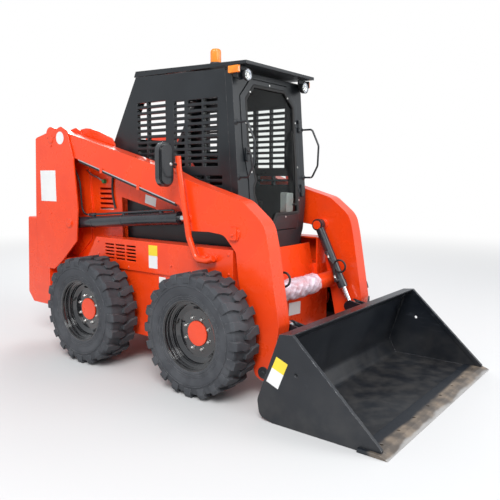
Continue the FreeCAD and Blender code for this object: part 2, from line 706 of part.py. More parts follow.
def seat_back():
    foot = on_cushion(CUSHION_REAR[0])
    top = foot[1] + BACK_HEIGHT
    return side_plate([foot, on_cushion(foot[0] + 100), (foot[0] + 30, top, 30), (foot[0] - 70, top - 20, 30)],
                      -SEAT_HALF, SEAT_HALF)


LEVER_Y = CAB_HALF - 90
CONSOLE_HALF = 50


def control_levers():
    """A console each side of the seat, with the drive lever's boot, stick and grip."""
    console = side_plate([(-150, CAB_FLOOR_Z), (250, CAB_FLOOR_Z), (270, 880, 20), (240, 905, 20),
                          (-150, 900, 20)], -LEVER_Y - CONSOLE_HALF, -LEVER_Y + CONSOLE_HALF)
    boot = Part.makeCone(38, 18, 46, V(185, -LEVER_Y, 898))
    stick = rod(V(185, -LEVER_Y, 930), V(225, -LEVER_Y + 8, 1080), 10)
    grip = rod(V(220, -LEVER_Y + 7, 1060), V(240, -LEVER_Y + 11, 1160), 19)
    return both(fuse([console, boot, stick, grip]))


HANDLE_RADIUS = 7
HANDLE_TOP = 1695
HANDLE_LOW = 1345


def grab_handle():
    """The bent bar on the front pillar."""
    y = -CAB_HALF + 14
    points = [V(front_x(HANDLE_TOP, 3.5), y, HANDLE_TOP), V(645, y, HANDLE_TOP), V(703, y, 1575),
              V(697, y, 1430), V(650, y, HANDLE_LOW), V(front_x(HANDLE_LOW, 3.5), y, HANDLE_LOW)]
    return tube_route(points, [30, 40, 40, 25], HANDLE_RADIUS)


# Mirrors on their posts

POST_OUT = 35
POST_RADIUS = 20
POST_FEET = ((470, 836), (540, 836))
MIRROR_HALF = 64
MIRROR_Z = (1283, 1562)
MIRROR_X = 228
MIRROR_DEPTH = 34
MIRROR_CORNER = 60
CROWN = 14
MIRROR_STUB_Z = 1425


def mirror_post():
    """The bent bar that carries the mirror: a hook on the fender and an upright beside the arm."""
    y = -BODY_HALF - POST_OUT
    route = ((560, 838), (505, 818), (415, 822), (352, 960), (268, 1400), (262, 1478))
    post = tube_route([at_y(point, y) for point in route], [60, 50, 70, 90], POST_RADIUS)
    feet = [pin_y(foot, 15, y, -BODY_HALF) for foot in POST_FEET]
    flanges = [pin_y(foot, 24, -BODY_HALF - 8, -BODY_HALF) for foot in POST_FEET]
    return fuse([post] + feet + flanges)


def mirror():
    """An oval housing that faces the rear, with the arm that holds it to the post."""
    y = -BODY_HALF - POST_OUT - POST_RADIUS - 22 - MIRROR_HALF
    front = MIRROR_X + MIRROR_DEPTH
    corners = [(side, z) for z in MIRROR_Z for side in (-1, 1)]
    outline = [(y + side * MIRROR_HALF, z, MIRROR_CORNER) for side, z in corners[:2] + corners[:1:-1]]
    shell = front_plate(outline, MIRROR_X, front)
    crown = grown(outline, -CROWN)
    crown.translate(V(front, 0, 0))
    stub = pin_y((front, MIRROR_STUB_Z), 11, y, -BODY_HALF - POST_OUT - POST_RADIUS - SEAT_GAP)
    return fuse([shell, crown.extrude(V(CROWN, 0, 0)), stub])


# Lamps

REAR_LAMP_Y = CAB_HALF - 100
REAR_LAMP_Z = 1990
REAR_LAMP_OUT = 22
LAMP_LENGTH = 36


def work_lamps():
    """A round lamp on each ear of the roof, and one each side of the rear window on a bracket."""
    lamp = Part.makeCylinder(LAMP_RADIUS, LAMP_LENGTH, V(LAMP_BACK_X, -LAMP_Y, LAMP_Z), V(1, 0, 0))
    back = rear_wall(0, REAR_LAMP_Z)[0] - REAR_LAMP_OUT
    rear = Part.makeCylinder(LAMP_RADIUS, LAMP_LENGTH - 1, V(back, -REAR_LAMP_Y, REAR_LAMP_Z), V(-1, 0, 0))
    bracket = side_plate([(back, REAR_LAMP_Z - 10), (back, REAR_LAMP_Z + 10),
                          rear_wall(-SEAT_GAP, REAR_LAMP_Z + 10), rear_wall(-SEAT_GAP, REAR_LAMP_Z - 10)],
                         -REAR_LAMP_Y - 10, -REAR_LAMP_Y + 10)
    return both(Part.makeCompound([lamp, fuse([rear, bracket])]))


BEACON = (300, -290)
BEACON_BASE = (36, 24)
BEACON_DOME = (31, 64, 8)
MARKER_X = (514, 584)
MARKER_Z = (2000, 2044)
MARKER_OUT = 22


def amber_lamps():
    """The beacon on the roof and a marker on each side of the cab."""
    z = roof_top(BEACON[0] - BEACON_BASE[0]) + SEAT_GAP
    base = Part.makeCylinder(*BEACON_BASE, V(*BEACON, z))
    radius, height, edge = BEACON_DOME
    dome = Part.makeCylinder(radius, height, V(*BEACON, z + BEACON_BASE[1]))
    beacon = fuse([base, dome.makeFillet(edge, [dome.Edges[0]])])
    marker = box(*MARKER_X, -CAB_HALF - MARKER_OUT, -CAB_HALF, *MARKER_Z)
    return Part.makeCompound([beacon, both(marker)])


# Engine door at the rear

REAR_DOOR_HALF = SIDE_FRAME_OUTER - PLATE - 26
REAR_DOOR_LOW = 340
REAR_DOOR_HIGH = 1158
REAR_DOOR_DEPTH = 35
REAR_HINGE_Z = (480, 1000)
REAR_HINGE_RADIUS = 10
REAR_HINGE_OUT = 12
REAR_KNUCKLE_HALF = 30
LOUVRES = 12
LOUVRE_PITCH = 42
LOUVRE_LOW = 560
LOUVRE_HALF = 300


def rear_hinge(z0, z1, radius):
    return Part.makeCylinder(radius, z1 - z0, V(REAR_FACE - REAR_HINGE_OUT, REAR_DOOR_HALF + 4, z0))


def engine_hinges():
    """The engine door's hinge pins, on brackets that stand on the left side frame."""
    hinges = []
    for z in REAR_HINGE_Z:
        pieces = []
        inner = REAR_KNUCKLE_HALF + 1
        for z0, z1 in ((z - 2 * REAR_KNUCKLE_HALF, z - inner), (z + inner, z + 2 * REAR_KNUCKLE_HALF)):
            pieces.append(rear_hinge(z0, z1, REAR_HINGE_RADIUS))
            pieces.append(box(REAR_FACE - REAR_HINGE_OUT - 4, REAR_FACE + REAR_DOOR_DEPTH, REAR_DOOR_HALF + 9,
                              SIDE_FRAME_OUTER - PLATE, z0, z1))
        pieces.append(rear_hinge(z - 45, z + 45, HINGE_PIN))
        hinges.append(fuse(pieces))
    return hinges


def engine_door():
    """The rear door with its louvres, each a slot with a blade that slopes outwards."""
    inside = REAR_FACE + REAR_DOOR_DEPTH
    half = REAR_DOOR_HALF
    door = box(REAR_FACE, inside, -half, half, REAR_DOOR_LOW, REAR_DOOR_HIGH)
    knuckles = []
    bores = []
    for z in REAR_HINGE_Z:
        z0, z1 = z - REAR_KNUCKLE_HALF, z + REAR_KNUCKLE_HALF
        knuckles.append(rear_hinge(z0, z1, REAR_HINGE_RADIUS))
        knuckles.append(box(REAR_FACE - 4, REAR_FACE, half - 40, half, z0, z1))
        bores.append(rear_hinge(z0 - 10, z1 + 10, HINGE_PIN + PIN_FIT))
    handle = box(REAR_FACE - 18, REAR_FACE, -half + 40, -half + 64, 700, 820)
    slots = []
    for row in range(LOUVRES):
        z = LOUVRE_LOW + row * LOUVRE_PITCH
        blade = [(REAR_FACE - 1, z), (REAR_FACE - 1, z + 20), (inside + 1, z + 34), (inside + 1, z + 14)]
        slots.append(side_plate(blade, -LOUVRE_HALF, LOUVRE_HALF))
    return cut(fuse([door, handle] + knuckles), bores + slots)


# Lift arms

ARM_OUTLINE = [(-1250, 1755, 60), (130, 1393, 900), (293, 1330, 500), (762, 1200, 160), (926, 1070, 160),
               (957, 939, 300), (1038, 472, 60), (990, 150, 55), (922, 112, 50), (862, 140, 40), (730, 728, 300),
               (713, 884, 60), (615, 988, 90), (493, 1000, 60), (331, 996, 20), (227, 1164, 20), (-900, 1492, 200),
               (-1250, 1560, 50)]
KNEE_POCKET = [(150, 1270), (420, 1200), (470, 1120), (440, 960), (150, 960)]
PIN_WASHER = 6


def arm_side():
    """A box beam, the knee's two plates open behind for the lift cylinder, and the front leg."""
    body = side_plate(ARM_OUTLINE, -ARM_OUTER, -ARM_INNER)
    pocket = side_plate(KNEE_POCKET, -ARM_OUTER + PLATE, -ARM_INNER - PLATE)
    bores = [pin_y(ARM_PIVOT, ARM_PIN_RADIUS + PIN_FIT, -ARM_OUTER - 1, -ARM_INNER + 1),
             pin_y(BUCKET_PIN, BUCKET_PIN_RADIUS + PIN_FIT, -ARM_OUTER - 1, -ARM_INNER + 1)]
    pin = CYLINDER_PIN_RADIUS
    eye_end = -TILT_Y + TILT_EYE_WIDTH / 2 + 2
    heads = [pin_y(LIFT_FRONT_PIN, pin + EYE_WALL / 2, -ARM_OUTER - PIN_HEAD, -ARM_OUTER + 1),
             pin_y(TILT_UPPER_PIN, pin + EYE_WALL, -ARM_OUTER - PIN_HEAD, -ARM_OUTER + 1),
             pin_y(TILT_UPPER_PIN, pin, -ARM_OUTER - 2 * PIN_HEAD, -ARM_OUTER),
             pin_y(TILT_UPPER_PIN, pin + EYE_WALL, -ARM_INNER - 1, -TILT_Y - TILT_BARREL_RADIUS - GAP),
             pin_y(TILT_UPPER_PIN, pin, -ARM_INNER - 1, eye_end + PIN_WASHER),
             pin_y(TILT_UPPER_PIN, pin + EYE_WALL / 2, eye_end, eye_end + PIN_WASHER)]
    return fuse([cut(body, [pocket] + bores)] + heads)


def cross_tube():
    return pin_y(CROSS_TUBE, CROSS_TUBE_RADIUS, -ARM_INNER, ARM_INNER)


# Cylinders: a barrel with an eye, and a rod with an eye

EYE_NECK = 34
BORE_START = 60
GLAND_AHEAD = 14


def barrel(start, end, y, radius, bore, length, eye_width):
    """The barrel with its eye at the start, a gland at the other end and the rod's bore."""
    def at(distance):
        return at_y(along(start, end, distance), y)
    eye = pin_y(start, CYLINDER_PIN_RADIUS + EYE_WALL, y - eye_width / 2, y + eye_width / 2)
    body = rod(at(EYE_NECK), at(length), radius)
    gland = rod(at(length + GLAND_AHEAD - GLAND_LENGTH), at(length + GLAND_AHEAD), radius + GLAND_STEP)
    hole = rod(at(BORE_START), at(length + GLAND_AHEAD + 1), bore)
    pin = pin_y(start, CYLINDER_PIN_RADIUS + PIN_FIT, y - eye_width, y + eye_width)
    return cut(fuse([eye, body, gland]), [hole, pin])


def piston_rod(start, end, y, radius, length, eye_width):
    """The rod of a length, with its eye at the end."""
    total = math.dist(start, end)
    shaft = rod(at_y(along(start, end, total - length), y), at_y(along(start, end, total - 10), y), radius)
    eye = pin_y(end, CYLINDER_PIN_RADIUS + EYE_WALL, y - eye_width / 2, y + eye_width / 2)
    return fuse([shaft, eye])


LINE_START = 175
LINE_END = LIFT_BARREL_LENGTH - 45
LINE_CLAMPS = (LINE_START + 40, LIFT_BARREL_LENGTH / 2, LIFT_BARREL_LENGTH - 170)
LINE_OFF = LIFT_BARREL_RADIUS + 14
LINE_FITTING = 66


def lift_barrel():
    """The lift cylinder's barrel, with the steel oil line that runs along its top in two clamps."""
    body = barrel(LIFT_REAR_PIN, LIFT_FRONT_PIN, -LIFT_Y, LIFT_BARREL_RADIUS,
                  LIFT_ROD_RADIUS + PIN_FIT, LIFT_BARREL_LENGTH, LIFT_EYE_WIDTH)

    def at(distance, off):
        return at_y(beside(LIFT_REAR_PIN, LIFT_FRONT_PIN, distance, off), -LIFT_Y)
    line = tube_route([at(LINE_START, LINE_OFF), at(LINE_END, LINE_OFF), at(LINE_END, LIFT_BARREL_RADIUS - 5)],
                      [LINE_RADIUS + 2], LINE_RADIUS)
    start = LINE_START - 6
    fitting = rod(at(start, LINE_OFF), at(start + LINE_FITTING, LINE_OFF), LINE_RADIUS + 5)
    clamps = [rod(at(d, LIFT_BARREL_RADIUS - 6), at(d, LINE_OFF + 4), 12) for d in LINE_CLAMPS]
    bands = [rod(at(d - 9, 0), at(d + 9, 0), LIFT_BARREL_RADIUS + 2) for d in LINE_CLAMPS[:2]]
    pieces = fuse([body, line, fitting] + clamps + bands)
    hole = rod(at(BORE_START, 0), at(LIFT_BARREL_LENGTH + GLAND_AHEAD + 1, 0), LIFT_ROD_RADIUS + PIN_FIT)
    return cut(pieces, [hole])


def lift_rod():
    return piston_rod(LIFT_REAR_PIN, LIFT_FRONT_PIN, -LIFT_Y, LIFT_ROD_RADIUS, LIFT_ROD_LENGTH, LIFT_EYE_WIDTH)


# Distances of the two ports from the tilt cylinder's upper pin, and of their elbows' ends from its axis
TILT_PORTS = (222, TILT_BARREL_LENGTH - 45)
ELBOW_OUT = (44, 64)
ELBOW_REACH = 20
ELBOW_RADIUS = 11
LOOP_RADIUS = 44
LOOP_POINTS = 12
LOOP_AT = (352, 68)


def tilt_port(distance, out, reach):
    """A port on the cylinder's inner side, with an elbow that turns along the cylinder."""
    def at(run, y):
        return at_y(along(TILT_UPPER_PIN, TILT_LOWER_PIN, run), y)
    y = -TILT_Y + out
    stem = rod(at(distance, -TILT_Y + TILT_ROD_RADIUS + 6), at(distance, y + ELBOW_RADIUS), ELBOW_RADIUS)
    turn = rod(at(distance, y), at(distance + reach, y), ELBOW_RADIUS - 1)
    return fuse([stem, turn])


def tilt_barrel():
    """The tilt cylinder's barrel, with the two ports that its hose joins."""
    body = barrel(TILT_UPPER_PIN, TILT_LOWER_PIN, -TILT_Y, TILT_BARREL_RADIUS,
                  TILT_ROD_RADIUS + PIN_FIT, TILT_BARREL_LENGTH, TILT_EYE_WIDTH)
    first = tilt_port(TILT_PORTS[0], ELBOW_OUT[0], ELBOW_REACH)
    second = tilt_port(TILT_PORTS[1], ELBOW_OUT[1], -ELBOW_REACH)
    return fuse([body, first, second])


def tilt_hose():
    """The hose between the tilt cylinder's two ports, with one loop in it."""
    def at(distance, off, out):
        return at_y(beside(TILT_UPPER_PIN, TILT_LOWER_PIN, distance, off), -TILT_Y + out)
    low, high = ELBOW_OUT
    start = TILT_PORTS[0] + ELBOW_REACH + SEAT_GAP
    end = TILT_PORTS[1] - ELBOW_REACH - SEAT_GAP
    points = [at(start, 0, low), at(start + 25, 0, low), at(start + 62, 14, low)]
    corner = LOOP_RADIUS / math.cos(math.pi / LOOP_POINTS)
    for i in range(LOOP_POINTS + 1):
        share = i / LOOP_POINTS
        angle = 2 * math.pi * (share - 0.25 - 0.5 / LOOP_POINTS)
        points.append(at(LOOP_AT[0] + corner * math.cos(angle), LOOP_AT[1] + corner * math.sin(angle),
                         low + share * (high - low)))
    points += [at(end - 22, 0, high), at(end, 0, high)]
    return hose(points, "tilt hose")


def tilt_rod():
    return piston_rod(TILT_UPPER_PIN, TILT_LOWER_PIN, -TILT_Y, TILT_ROD_RADIUS, TILT_ROD_LENGTH,
                      TILT_EYE_WIDTH)


def lift_hose():
    """The hose from the tower to the oil line on the lift cylinder."""
    def at(distance, off):
        return at_y(beside(LIFT_REAR_PIN, LIFT_FRONT_PIN, distance, off), -LIFT_Y)
    points = [at(LINE_START - 6 - SEAT_GAP, LINE_OFF), at(112, LINE_OFF), at(74, LINE_OFF + 42),
              at(72, 190), at(78, 290), at(50, 375), at(10, 430)]
    return hose(points, "lift hose")


# Bucket

TIP = [(BUCKET_TIP_X, EDGE_THICK + 14), (BUCKET_TIP_X, EDGE_THICK)]
RIM_WIDTH = (24, 10)
SIDE_HOLE = (1318, 305)
SIDE_HOLE_RADIUS = 11


def bucket_shell():
    """Back, heel and floor as one bent sheet, the top stiffener and the two side plates."""
    s = BUCKET_SHEET
    inner_half = BUCKET_HALF - BUCKET_SIDE
    outer = [BUCKET_TOP_REAR, SHELL_BACK_LOW + (50,), (BUCKET_FLOOR_X, 0, 50), (EDGE_REAR_X, 0),
             (EDGE_REAR_X, s), (BUCKET_FLOOR_X + 4, s, 45), (SHELL_BACK_LOW[0] + 9, SHELL_BACK_LOW[1] + 4, 45),
             (BUCKET_TOP_REAR[0] + 10, BUCKET_TOP_REAR[1] - 4)]
    sheet = side_plate(outer, -inner_half, inner_half)
    top = side_plate([BUCKET_TOP_REAR, BUCKET_TOP_FRONT, (BUCKET_TOP_FRONT[0] - 2, BUCKET_TOP_FRONT[1] - 10),
                      (1198, 440), (1186, 440)], -inner_half, inner_half)
    outline = [BUCKET_TOP_REAR, BUCKET_TOP_FRONT] + TIP + [
        (EDGE_REAR_X, EDGE_THICK), (EDGE_REAR_X, 0), (BUCKET_FLOOR_X, 0), BUCKET_HEEL + (50,),
        BUCKET_BACK_LOW + (60,)]
    rim = [BUCKET_TOP_FRONT] + TIP + [(BUCKET_TIP_X - RIM_WIDTH[0], EDGE_THICK),
                                      (BUCKET_TOP_FRONT[0] - 8, BUCKET_TOP_FRONT[1] - RIM_WIDTH[0])]
    sides = []
    for side in (-1, 1):
        y0, y1 = sorted((side * BUCKET_HALF, side * inner_half))
        hole = pin_y(SIDE_HOLE, SIDE_HOLE_RADIUS, y0 - 1, y1 + 1)
        sides.append(cut(side_plate(outline, y0, y1), [hole]))
        y0, y1 = sorted((side * inner_half, side * (inner_half - RIM_WIDTH[1])))
        sides.append(side_plate(rim, y0, y1))
    return fuse([sheet, top] + sides)


def cutting_edge():
    """The thick ground edge with its bevel and its row of bolt holes."""
    half = BUCKET_HALF + EDGE_OVERHANG
    corners = [(EDGE_REAR_X, 0), (LIP_X, 0), (LIP_X, 4), (LIP_X - 46, EDGE_THICK), (EDGE_REAR_X, EDGE_THICK)]
    holes = []
    for i in range(EDGE_HOLES):
        y = (i - (EDGE_HOLES - 1) / 2) * EDGE_HOLE_PITCH
        holes.append(Part.makeCylinder(EDGE_HOLE_RADIUS, EDGE_THICK + 2, V(EDGE_HOLE_X, y, -1)))
    return cut(side_plate(corners, -half, half), holes)


def back_offset(distance, z):
    """A point behind the bucket's back sheet, at a height."""
    run_x = BUCKET_TOP_REAR[0] - SHELL_BACK_LOW[0]
    run_z = BUCKET_TOP_REAR[1] - SHELL_BACK_LOW[1]
    x = SHELL_BACK_LOW[0] + (z - SHELL_BACK_LOW[1]) * run_x / run_z
    return (x - distance * math.hypot(run_x, run_z) / run_z, z)


def coupler():
    """The hitch plate on the bucket's back with the pivot ears and the tilt ears."""
    half = ARM_INNER - GAP - 1
    plate = side_plate([back_offset(0, 160), back_offset(0, 430), back_offset(COUPLER_PLATE, 430),
                        back_offset(COUPLER_PLATE, 160)], -half, half)
    pieces = [plate]
    x, z = BUCKET_PIN
    pivot = [back_offset(0, 165), back_offset(0, 300), (x - 20, z + 60, 40), (x - 60, z, 40),
             (x - 10, z - 62, 40)]
    x, z = TILT_LOWER_PIN
    lever = [back_offset(0, 300), back_offset(0, 425), (x, z + 50, 30), (x - 46, z, 30), (x, z - 50, 30)]
    for side in (-1, 1):
        y0, y1 = sorted((side * half, side * (half - 2 * EAR)))
        pieces.append(side_plate(pivot, y0, y1))
        for offset in (-1, 1):
            inner = TILT_Y + offset * (TILT_EYE_WIDTH / 2 + EAR_GAP)
            y0, y1 = sorted((side * inner, side * (inner + offset * EAR)))
            pieces.append(side_plate(lever, y0, y1))
        y0, y1 = sorted((side * (half - 2 * EAR), side * (ARM_OUTER + PIN_HEAD)))
        pieces.append(pin_y(BUCKET_PIN, BUCKET_PIN_RADIUS, y0, y1))
        y0, y1 = sorted((side * (ARM_OUTER + 2), side * (ARM_OUTER + PIN_HEAD)))
        pieces.append(pin_y(BUCKET_PIN, BUCKET_PIN_RADIUS + 12, y0, y1))
    return fuse(pieces)


# Wheels, drawn about the wheel's own axis and then set in place

SHAFT_END_Y = BODY_HALF - 20
HALF_TREAD = TYRE_WIDTH / 2
CARCASS_RADIUS = TYRE_RADIUS - TREAD_DEPTH
LUG_ROOT = TYRE_RADIUS - 60


def revolve_profile(corners):
    """A closed (y, radius) profile turned about the Y axis through the origin."""
    wire = rounded_wire(corners, lambda p: V(p.y, p.x, 0))
    return Part.Face(wire).revolve(V(0, 0, 0), V(0, 1, 0), 360)


def tyre():
    """The carcass with two staggered rows of lugs that wrap over the shoulders."""
    w = HALF_TREAD
    carcass = revolve_profile([(-w + 16, BEAD_RADIUS), (-w + 2, 300, 40), (-w + 14, CARCASS_RADIUS - 6),
                               (-w + 26, CARCASS_RADIUS), (w - 26, CARCASS_RADIUS), (w - 14, CARCASS_RADIUS - 6),
                               (w - 2, 300, 40), (w - 16, BEAD_RADIUS)])
    envelope = revolve_profile([(-w + 4, LUG_ROOT), (-w, TYRE_RADIUS - 22), (-w + 12, TYRE_RADIUS),
                                (w - 12, TYRE_RADIUS), (w, TYRE_RADIUS - 22), (w - 4, LUG_ROOT)])
    plan = [(-27, w), (25, w), (27, 64), (44, 22), (36, -12), (8, -12), (-2, 20), (-21, 60)]
    lugs = []
    for side in (-1, 1):
        points = [V(t, side * y, LUG_ROOT + 2) for t, y in plan]
        lug = Part.Face(Part.makePolygon(points + points[:1])).extrude(V(0, 0, 80))
        for i in range(LUG_COUNT):
            turned = lug.copy()
            turned.rotate(V(0, 0, 0), V(0, 1, 0), 360 / LUG_COUNT * (i + (side + 1) / 4))
            lugs.append(turned)
    blocks = envelope.common(Part.makeCompound(lugs))
    shape = carcass.multiFuse(blocks.Solids)
    shape.translate(V(0, -TYRE_MID_Y, 0))
    return shape


def rim():
    """A drop-centre rim with its stepped outer side and the deep disc."""
    outer = -TYRE_OUTER_Y + 16
    inner = -TYRE_INNER_Y - 16
    face = BEAD_RADIUS - SEAT_GAP
    front = -DISC_Y
    back = -DISC_Y + DISC_SHEET
    hole = HUB_RADIUS + SEAT_GAP
    shell = revolve_profile([(outer, face), (inner, face), (inner, face - RIM_SHEET), (back, face - 36),
                             (front, face - 36), (front - 20, face - 30), (front - 42, face - 28),
                             (front - 46, face - 14), (outer + 14, face - 12), (outer, face - 7)])
    disc = revolve_profile([(front, hole), (front, face - 70, 14), (front - 14, face - 46, 14),
                            (front - 14, face - 30), (back, face - 30), (back, hole)])
    return fuse([shell, disc])


def hub():
    """The hub's cap in front of the disc, its flange behind it and the stub shaft."""
    front = -DISC_Y - HUB_CROWN
    back = -DISC_Y + DISC_SHEET
    crown = revolve_profile([(front, 0), (front, HUB_RADIUS, 3), (back + 10, HUB_RADIUS), (back + 10, 0)])
    shaft = pin_y((0, 0), AXLE_RADIUS, back, -SHAFT_END_Y)
    return fuse([crown, shaft])


def at_axle(shape, axle):
    placed = shape.copy()
    placed.translate(V(axle, 0, TYRE_RADIUS))
    return placed


def build():
    write("main_frame", main_frame())
    write_pair("side_panel", side_panel())
    write_pair("side_frame", side_frame())
    write("engine_hinges", Part.makeCompound(engine_hinges()))
    write_pair("tower", tower())
    write("rear_guards", both(rear_guard()))
    write("engine_hood", engine_hood())
    write("engine_block", engine_block())
    write_pair("cab_side", cab_side())
    write("cab_roof", cab_roof())
    write("cab_rear", cab_rear())
    write("cab_front", cab_front())
    write("door_frame", door_frame())
    write("door_glass", door_glass())
    write("seat_frame", seat_frame())
    write("seat_cushion", seat_cushion())
    write("seat_back", seat_back())
    write("control_levers", control_levers())
    write("grab_handles", both(grab_handle()))
    write("mirror_posts", both(mirror_post()))
    write("mirrors", both(mirror()))
    write("work_lamps", work_lamps())
    write("beacon", amber_lamps())
    write("engine_door", engine_door())
    write_pair("arm", arm_side())
    write("cross_tube", cross_tube())
    write_pair("lift_barrel", lift_barrel())
    write_pair("lift_rod", lift_rod())
    write_pair("lift_hose", lift_hose())
    write_pair("tilt_barrel", tilt_barrel())
    write_pair("tilt_rod", tilt_rod())
    write_pair("tilt_hose", tilt_hose())
    write("bucket_shell", bucket_shell())
    write("cutting_edge", cutting_edge())
    write("coupler", coupler())
    wheel = {"tyre": tyre(), "rim": rim(), "hub": hub()}
    for where, axle in (("front", FRONT_AXLE), ("rear", REAR_AXLE)):
        for name, shape in wheel.items():
            write_pair(name + "_" + where, at_axle(shape, axle))


os.makedirs("parts", exist_ok=True)
build()
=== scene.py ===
# %% [markdown]
# # Skid steer loader
#
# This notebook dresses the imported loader: it takes the construction model as its frame, gives each
# piece of it a material, and adds the parts that are too small or too soft for the construction model,
# such as bolts, hoses, labels, lamps and the padded seat.

# %% [markdown]
# ## The frame
#
# The construction model comes in first. Everything that is added later is drawn in the same frame:
# metres, X forward, Y to the operator's left, Z up, with the origin on the ground under the machine's
# middle. Sizes read from the photograph are measured from the middle of the wheelbase instead, which
# lies a little ahead of that origin.

# %% Load the frame
import math
import random

import bmesh
import bpy
from mathutils import Matrix, Vector


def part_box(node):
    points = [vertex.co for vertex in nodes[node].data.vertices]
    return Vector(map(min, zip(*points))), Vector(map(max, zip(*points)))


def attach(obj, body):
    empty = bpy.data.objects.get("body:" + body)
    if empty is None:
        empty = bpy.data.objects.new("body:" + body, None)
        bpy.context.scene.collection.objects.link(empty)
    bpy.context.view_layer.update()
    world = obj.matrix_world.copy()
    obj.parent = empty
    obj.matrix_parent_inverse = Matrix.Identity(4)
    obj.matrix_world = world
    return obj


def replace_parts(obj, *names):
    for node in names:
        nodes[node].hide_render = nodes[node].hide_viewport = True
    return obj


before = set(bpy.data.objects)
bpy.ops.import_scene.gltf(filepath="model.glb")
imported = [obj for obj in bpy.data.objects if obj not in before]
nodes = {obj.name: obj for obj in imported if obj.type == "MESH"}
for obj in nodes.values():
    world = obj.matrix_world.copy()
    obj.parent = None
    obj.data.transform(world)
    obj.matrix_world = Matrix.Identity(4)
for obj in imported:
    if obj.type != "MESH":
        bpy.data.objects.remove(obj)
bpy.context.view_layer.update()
scene = bpy.context.scene
WHEELBASE_MIDDLE = -0.142
SIDES = (("right", -1), ("left", 1))


def at(x, y, z):
    """A point given from the middle of the wheelbase, in the row frame."""
    return Vector((x + WHEELBASE_MIDDLE, y, z))


def add_object(name, data):
    """A new object that is linked to the scene."""
    thing = bpy.data.objects.new(name, data)
    scene.collection.objects.link(thing)
    return thing


# %% [markdown]
# ## The camera
#
# The camera was solved from the photograph, with the four wheels as its scale. It stands ahead of the
# machine on the operator's right and looks slightly down.

# %% Camera
CAMERA_HEADING = math.radians(127.7)
CAMERA_PITCH = math.radians(7.16)
CAMERA_ROLL = 0.003
camera_data = bpy.data.cameras.new("Camera")
camera_data.sensor_width = 36
camera_data.lens = 41.35
camera = add_object("Camera", camera_data)
camera.location = at(2.915, -3.293, 1.341)
camera.rotation_euler = (
    Matrix.Rotation(CAMERA_HEADING - math.pi / 2, 3, "Z")
    @ Matrix.Rotation(math.pi / 2 - CAMERA_PITCH, 3, "X")
    @ Matrix.Rotation(CAMERA_ROLL, 3, "Z")
).to_euler()
scene.camera = camera

# %% [markdown]
# ## Effects that several materials share
#
# Each effect is a node group with plain outputs: a mask or a normal. The first finds the edges of a
# piece by comparing its normal with one that is rounded off, which also gives sharp sheet edges the
# soft highlight of real paint. The others are blotches, dust that settles low down and on top, fine
# scratches, and a fine bump.

# %% Node groups
NOISE_ROUGHNESS = 0.55


def add(tree, kind, inputs=(), **settings):
    """A new shader node with its settings; its inputs are fed from other sockets or with numbers."""
    node = tree.nodes.new("ShaderNode" + kind)
    for setting, value in settings.items():
        setattr(node, setting, value)
    for key, value in dict(inputs).items():
        if isinstance(value, bpy.types.NodeSocket):
            tree.links.new(value, node.inputs[key])
        else:
            node.inputs[key].default_value = value
    return node


def new_group(name, inputs, *outputs):
    """An empty node group. A Normal is a vector, every other input and output is a number."""
    tree = bpy.data.node_groups.new(name, "ShaderNodeTree")
    for direction, labels in (("INPUT", inputs), ("OUTPUT", outputs)):
        for label in labels:
            kind = "NodeSocketVector" if label == "Normal" else "NodeSocketFloat"
            socket = tree.interface.new_socket(label, in_out=direction, socket_type=kind)
            if direction == "INPUT":
                socket.default_value = inputs[label]
    return tree, tree.nodes.new("NodeGroupInput").outputs, tree.nodes.new("NodeGroupOutput").inputs


def math_node(tree, operation, *values, clamp=False):
    return add(tree, "Math", enumerate(values), operation=operation, use_clamp=clamp).outputs[0]


def ramp_node(tree, value, low, high, to_low=0.0, to_high=1.0):
    """Maps low..high to to_low..to_high, and holds it there outside."""
    given = {"Value": value, "From Min": low, "From Max": high, "To Min": to_low, "To Max": to_high}
    return add(tree, "MapRange", given, interpolation_type="SMOOTHSTEP").outputs["Result"]


def noise_node(tree, scale, detail=3, stretch=None):
    """Noise over the piece's own coordinates, which may be stretched along an axis."""
    place = add(tree, "TexCoord").outputs["Object"]
    if stretch:
        place = add(tree, "Mapping", {"Vector": place, "Scale": stretch}).outputs["Vector"]
    given = {"Vector": place, "Scale": scale, "Detail": detail, "Roughness": NOISE_ROUGHNESS}
    return add(tree, "TexNoise", given).outputs["Fac"]


def component(tree, vector, axis):
    """One of a vector's three numbers."""
    return add(tree, "SeparateXYZ", {0: vector}).outputs[axis]


def rounded_edges_group():
    tree, given, result = new_group("Rounded edges", {"Radius": 0.003}, "Normal", "Edge")
    bevel = add(tree, "Bevel", {"Radius": given["Radius"]}, samples=6).outputs["Normal"]
    face = add(tree, "NewGeometry").outputs["Normal"]
    dot = add(tree, "VectorMath", {0: bevel, 1: face}, operation="DOT_PRODUCT")
    turned_away = math_node(tree, "SUBTRACT", 1.0, dot.outputs["Value"])
    tree.links.new(ramp_node(tree, turned_away, 0.02, 0.22), result["Edge"])
    tree.links.new(bevel, result["Normal"])
    return tree


def blotches_group():
    tree, given, result = new_group("Blotches", {"Scale": 6.0, "Low": 0.4, "High": 0.65}, "Mask")
    noise = noise_node(tree, given["Scale"], detail=5)
    tree.links.new(ramp_node(tree, noise, given["Low"], given["High"]), result["Mask"])
    return tree


